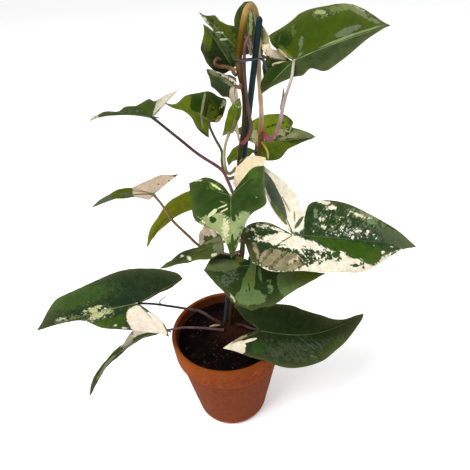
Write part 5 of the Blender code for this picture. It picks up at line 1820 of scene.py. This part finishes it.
def leaf_material(name, jag, roughness, vein_colour):
    """Ground colour, then bright, sage, tan and cream patches, then veins and the underside."""
    material, tree, shader = new_material(name, roughness, 0.015)
    paint = put(tree, "SeparateColor", [(0, stored(tree, "paint"))]).outputs
    ground, under, edge = stored(tree, "ground"), stored(tree, "under", "Fac"), stored(tree, "edge", "Fac")
    vein = use_group(tree, veins)
    flat_place = put(tree, "UVMap", uv_map="flat").outputs[0]
    sunlit = step_up(tree, noise(tree, flat_place, 1.1, 3.0, 0.6), 0.3, 0.7)
    fleck = noise(tree, flat_place, 11.0, 2.0, 0.6)
    colour = mix(tree, sunlit, darker(tree, ground, (0.60, 0.62, 0.60)), ground)
    colour = layer(tree, colour, under, 0.3, UNDERSIDE)
    layers = (
        (paint["Blue"], 1.0, 0.18, 0.0, stored(tree, "bright"), (0.72, 0.74, 0.7)),
        (paint["Green"], 5.0, 0.10, 0.0, stored(tree, "sage"), (0.78, 0.80, 0.78)),
        (stored(tree, "tan", "Fac"), 7.0, 0.12, 0.0, TAN, (0.55, 0.55, 0.50)),
        (paint["Red"], 9.0, 0.05, 0.55, stored(tree, "cream"), (0.92, 0.88, 0.82)),
    )
    wild = maths(tree, "SUBTRACT", jag, times(tree, stored(tree, "calm", "Fac"), jag * 0.75))
    rib_share = plus(tree, 0.04, times(tree, stored(tree, "main", "Fac"), 0.22))
    lines = maths(
        tree, "MAXIMUM", times(tree, vein["Midrib"], rib_share), times(tree, vein["Laterals"], 0.08)
    )
    for amount, shift, softness, fringe, tone, shadow in layers:
        knobs = [("Paint", amount), ("Jag", wild), ("Shift", shift), ("Softness", softness)]
        marbling = use_group(tree, marble, knobs)
        shade = mix(tree, sunlit, darker(tree, tone, shadow), tone)
        if fringe:
            colour = layer(tree, colour, marbling["Fringe"], fringe, stored(tree, "sage"))
            colour = mix(tree, lines, colour, vein_colour)
        colour = mix(tree, marbling["Patch"], colour, shade)
    knobs = [("Paint", 0.5), ("Jag", 1.0), ("Shift", 3.0), ("Softness", 0.35)]
    colour = layer(tree, colour, use_group(tree, marble, knobs)["Patch"], 0.22, (0.02, 0.03, 0.01))
    colour = layer(tree, colour, maths(tree, "SUBTRACT", 1.0, vein["Net"]), 0.10, (0.01, 0.02, 0.005))
    colour = layer(tree, colour, edge, 0.2, LEAF_RIM)
    tree.links.new(colour, shader.inputs["Base Color"])
    matt = plus(tree, times(tree, under, 0.2), times(tree, fleck, 0.12))
    tree.links.new(plus(tree, matt, roughness), shader.inputs["Roughness"])
    bump(tree, shader, vein["Relief"], 0.35, 0.0006)
    return material


leaf_looks = {
    "leaf_green": leaf_material("green_leaf", 1.1, 0.36, (0.12, 0.17, 0.05)),
    "leaf_variegated": leaf_material("marbled_leaf", 1.25, 0.36, (0.16, 0.20, 0.08)),
    "leaf_cream": leaf_material("cream_leaf", 0.8, 0.42, (0.62, 0.50, 0.28)),
}
print("leaf materials:", ", ".join(leaf_looks))

# %% [markdown]
# ## Growing the leaves
# Every leaf is now made by the same two functions. One grid for all would waste points
# on small leaves, so large leaves get fine grids and small ones coarser grids. The
# spacing of points and of side veins is then about the same on all of them.

# %% Make every leaf
FIRST_SEED = 3
GRIDS = ((100, (64, 280)), (50, (52, 220)), (0, (32, 140)))
VEINS_PER_BLADE = 9
VEIN_SPACING = (3.5, 10)
for seed, leaf in enumerate(LEAVES, FIRST_SEED):
    size = np.linalg.norm(np.subtract(leaf.tip, leaf.base))
    rows, columns = next(grid for least, grid in GRIDS if size > least)
    sheet, length, up_way = blade(leaf, seed, rows, columns, np.clip(size / VEINS_PER_BLADE, *VEIN_SPACING))
    settle(sheet, leaf_looks[leaf.slot], leaf.slot, leaf.name)
    settle(stalk(leaf, length, up_way), bark_skin, leaf.slot, leaf.name)
print(len(LEAVES), "leaves grown")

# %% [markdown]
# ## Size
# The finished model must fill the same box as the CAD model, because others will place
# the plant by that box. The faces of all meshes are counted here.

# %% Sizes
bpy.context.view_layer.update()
faces = sum(len(o.data.polygons) for o in scene.objects if o.type == "MESH")
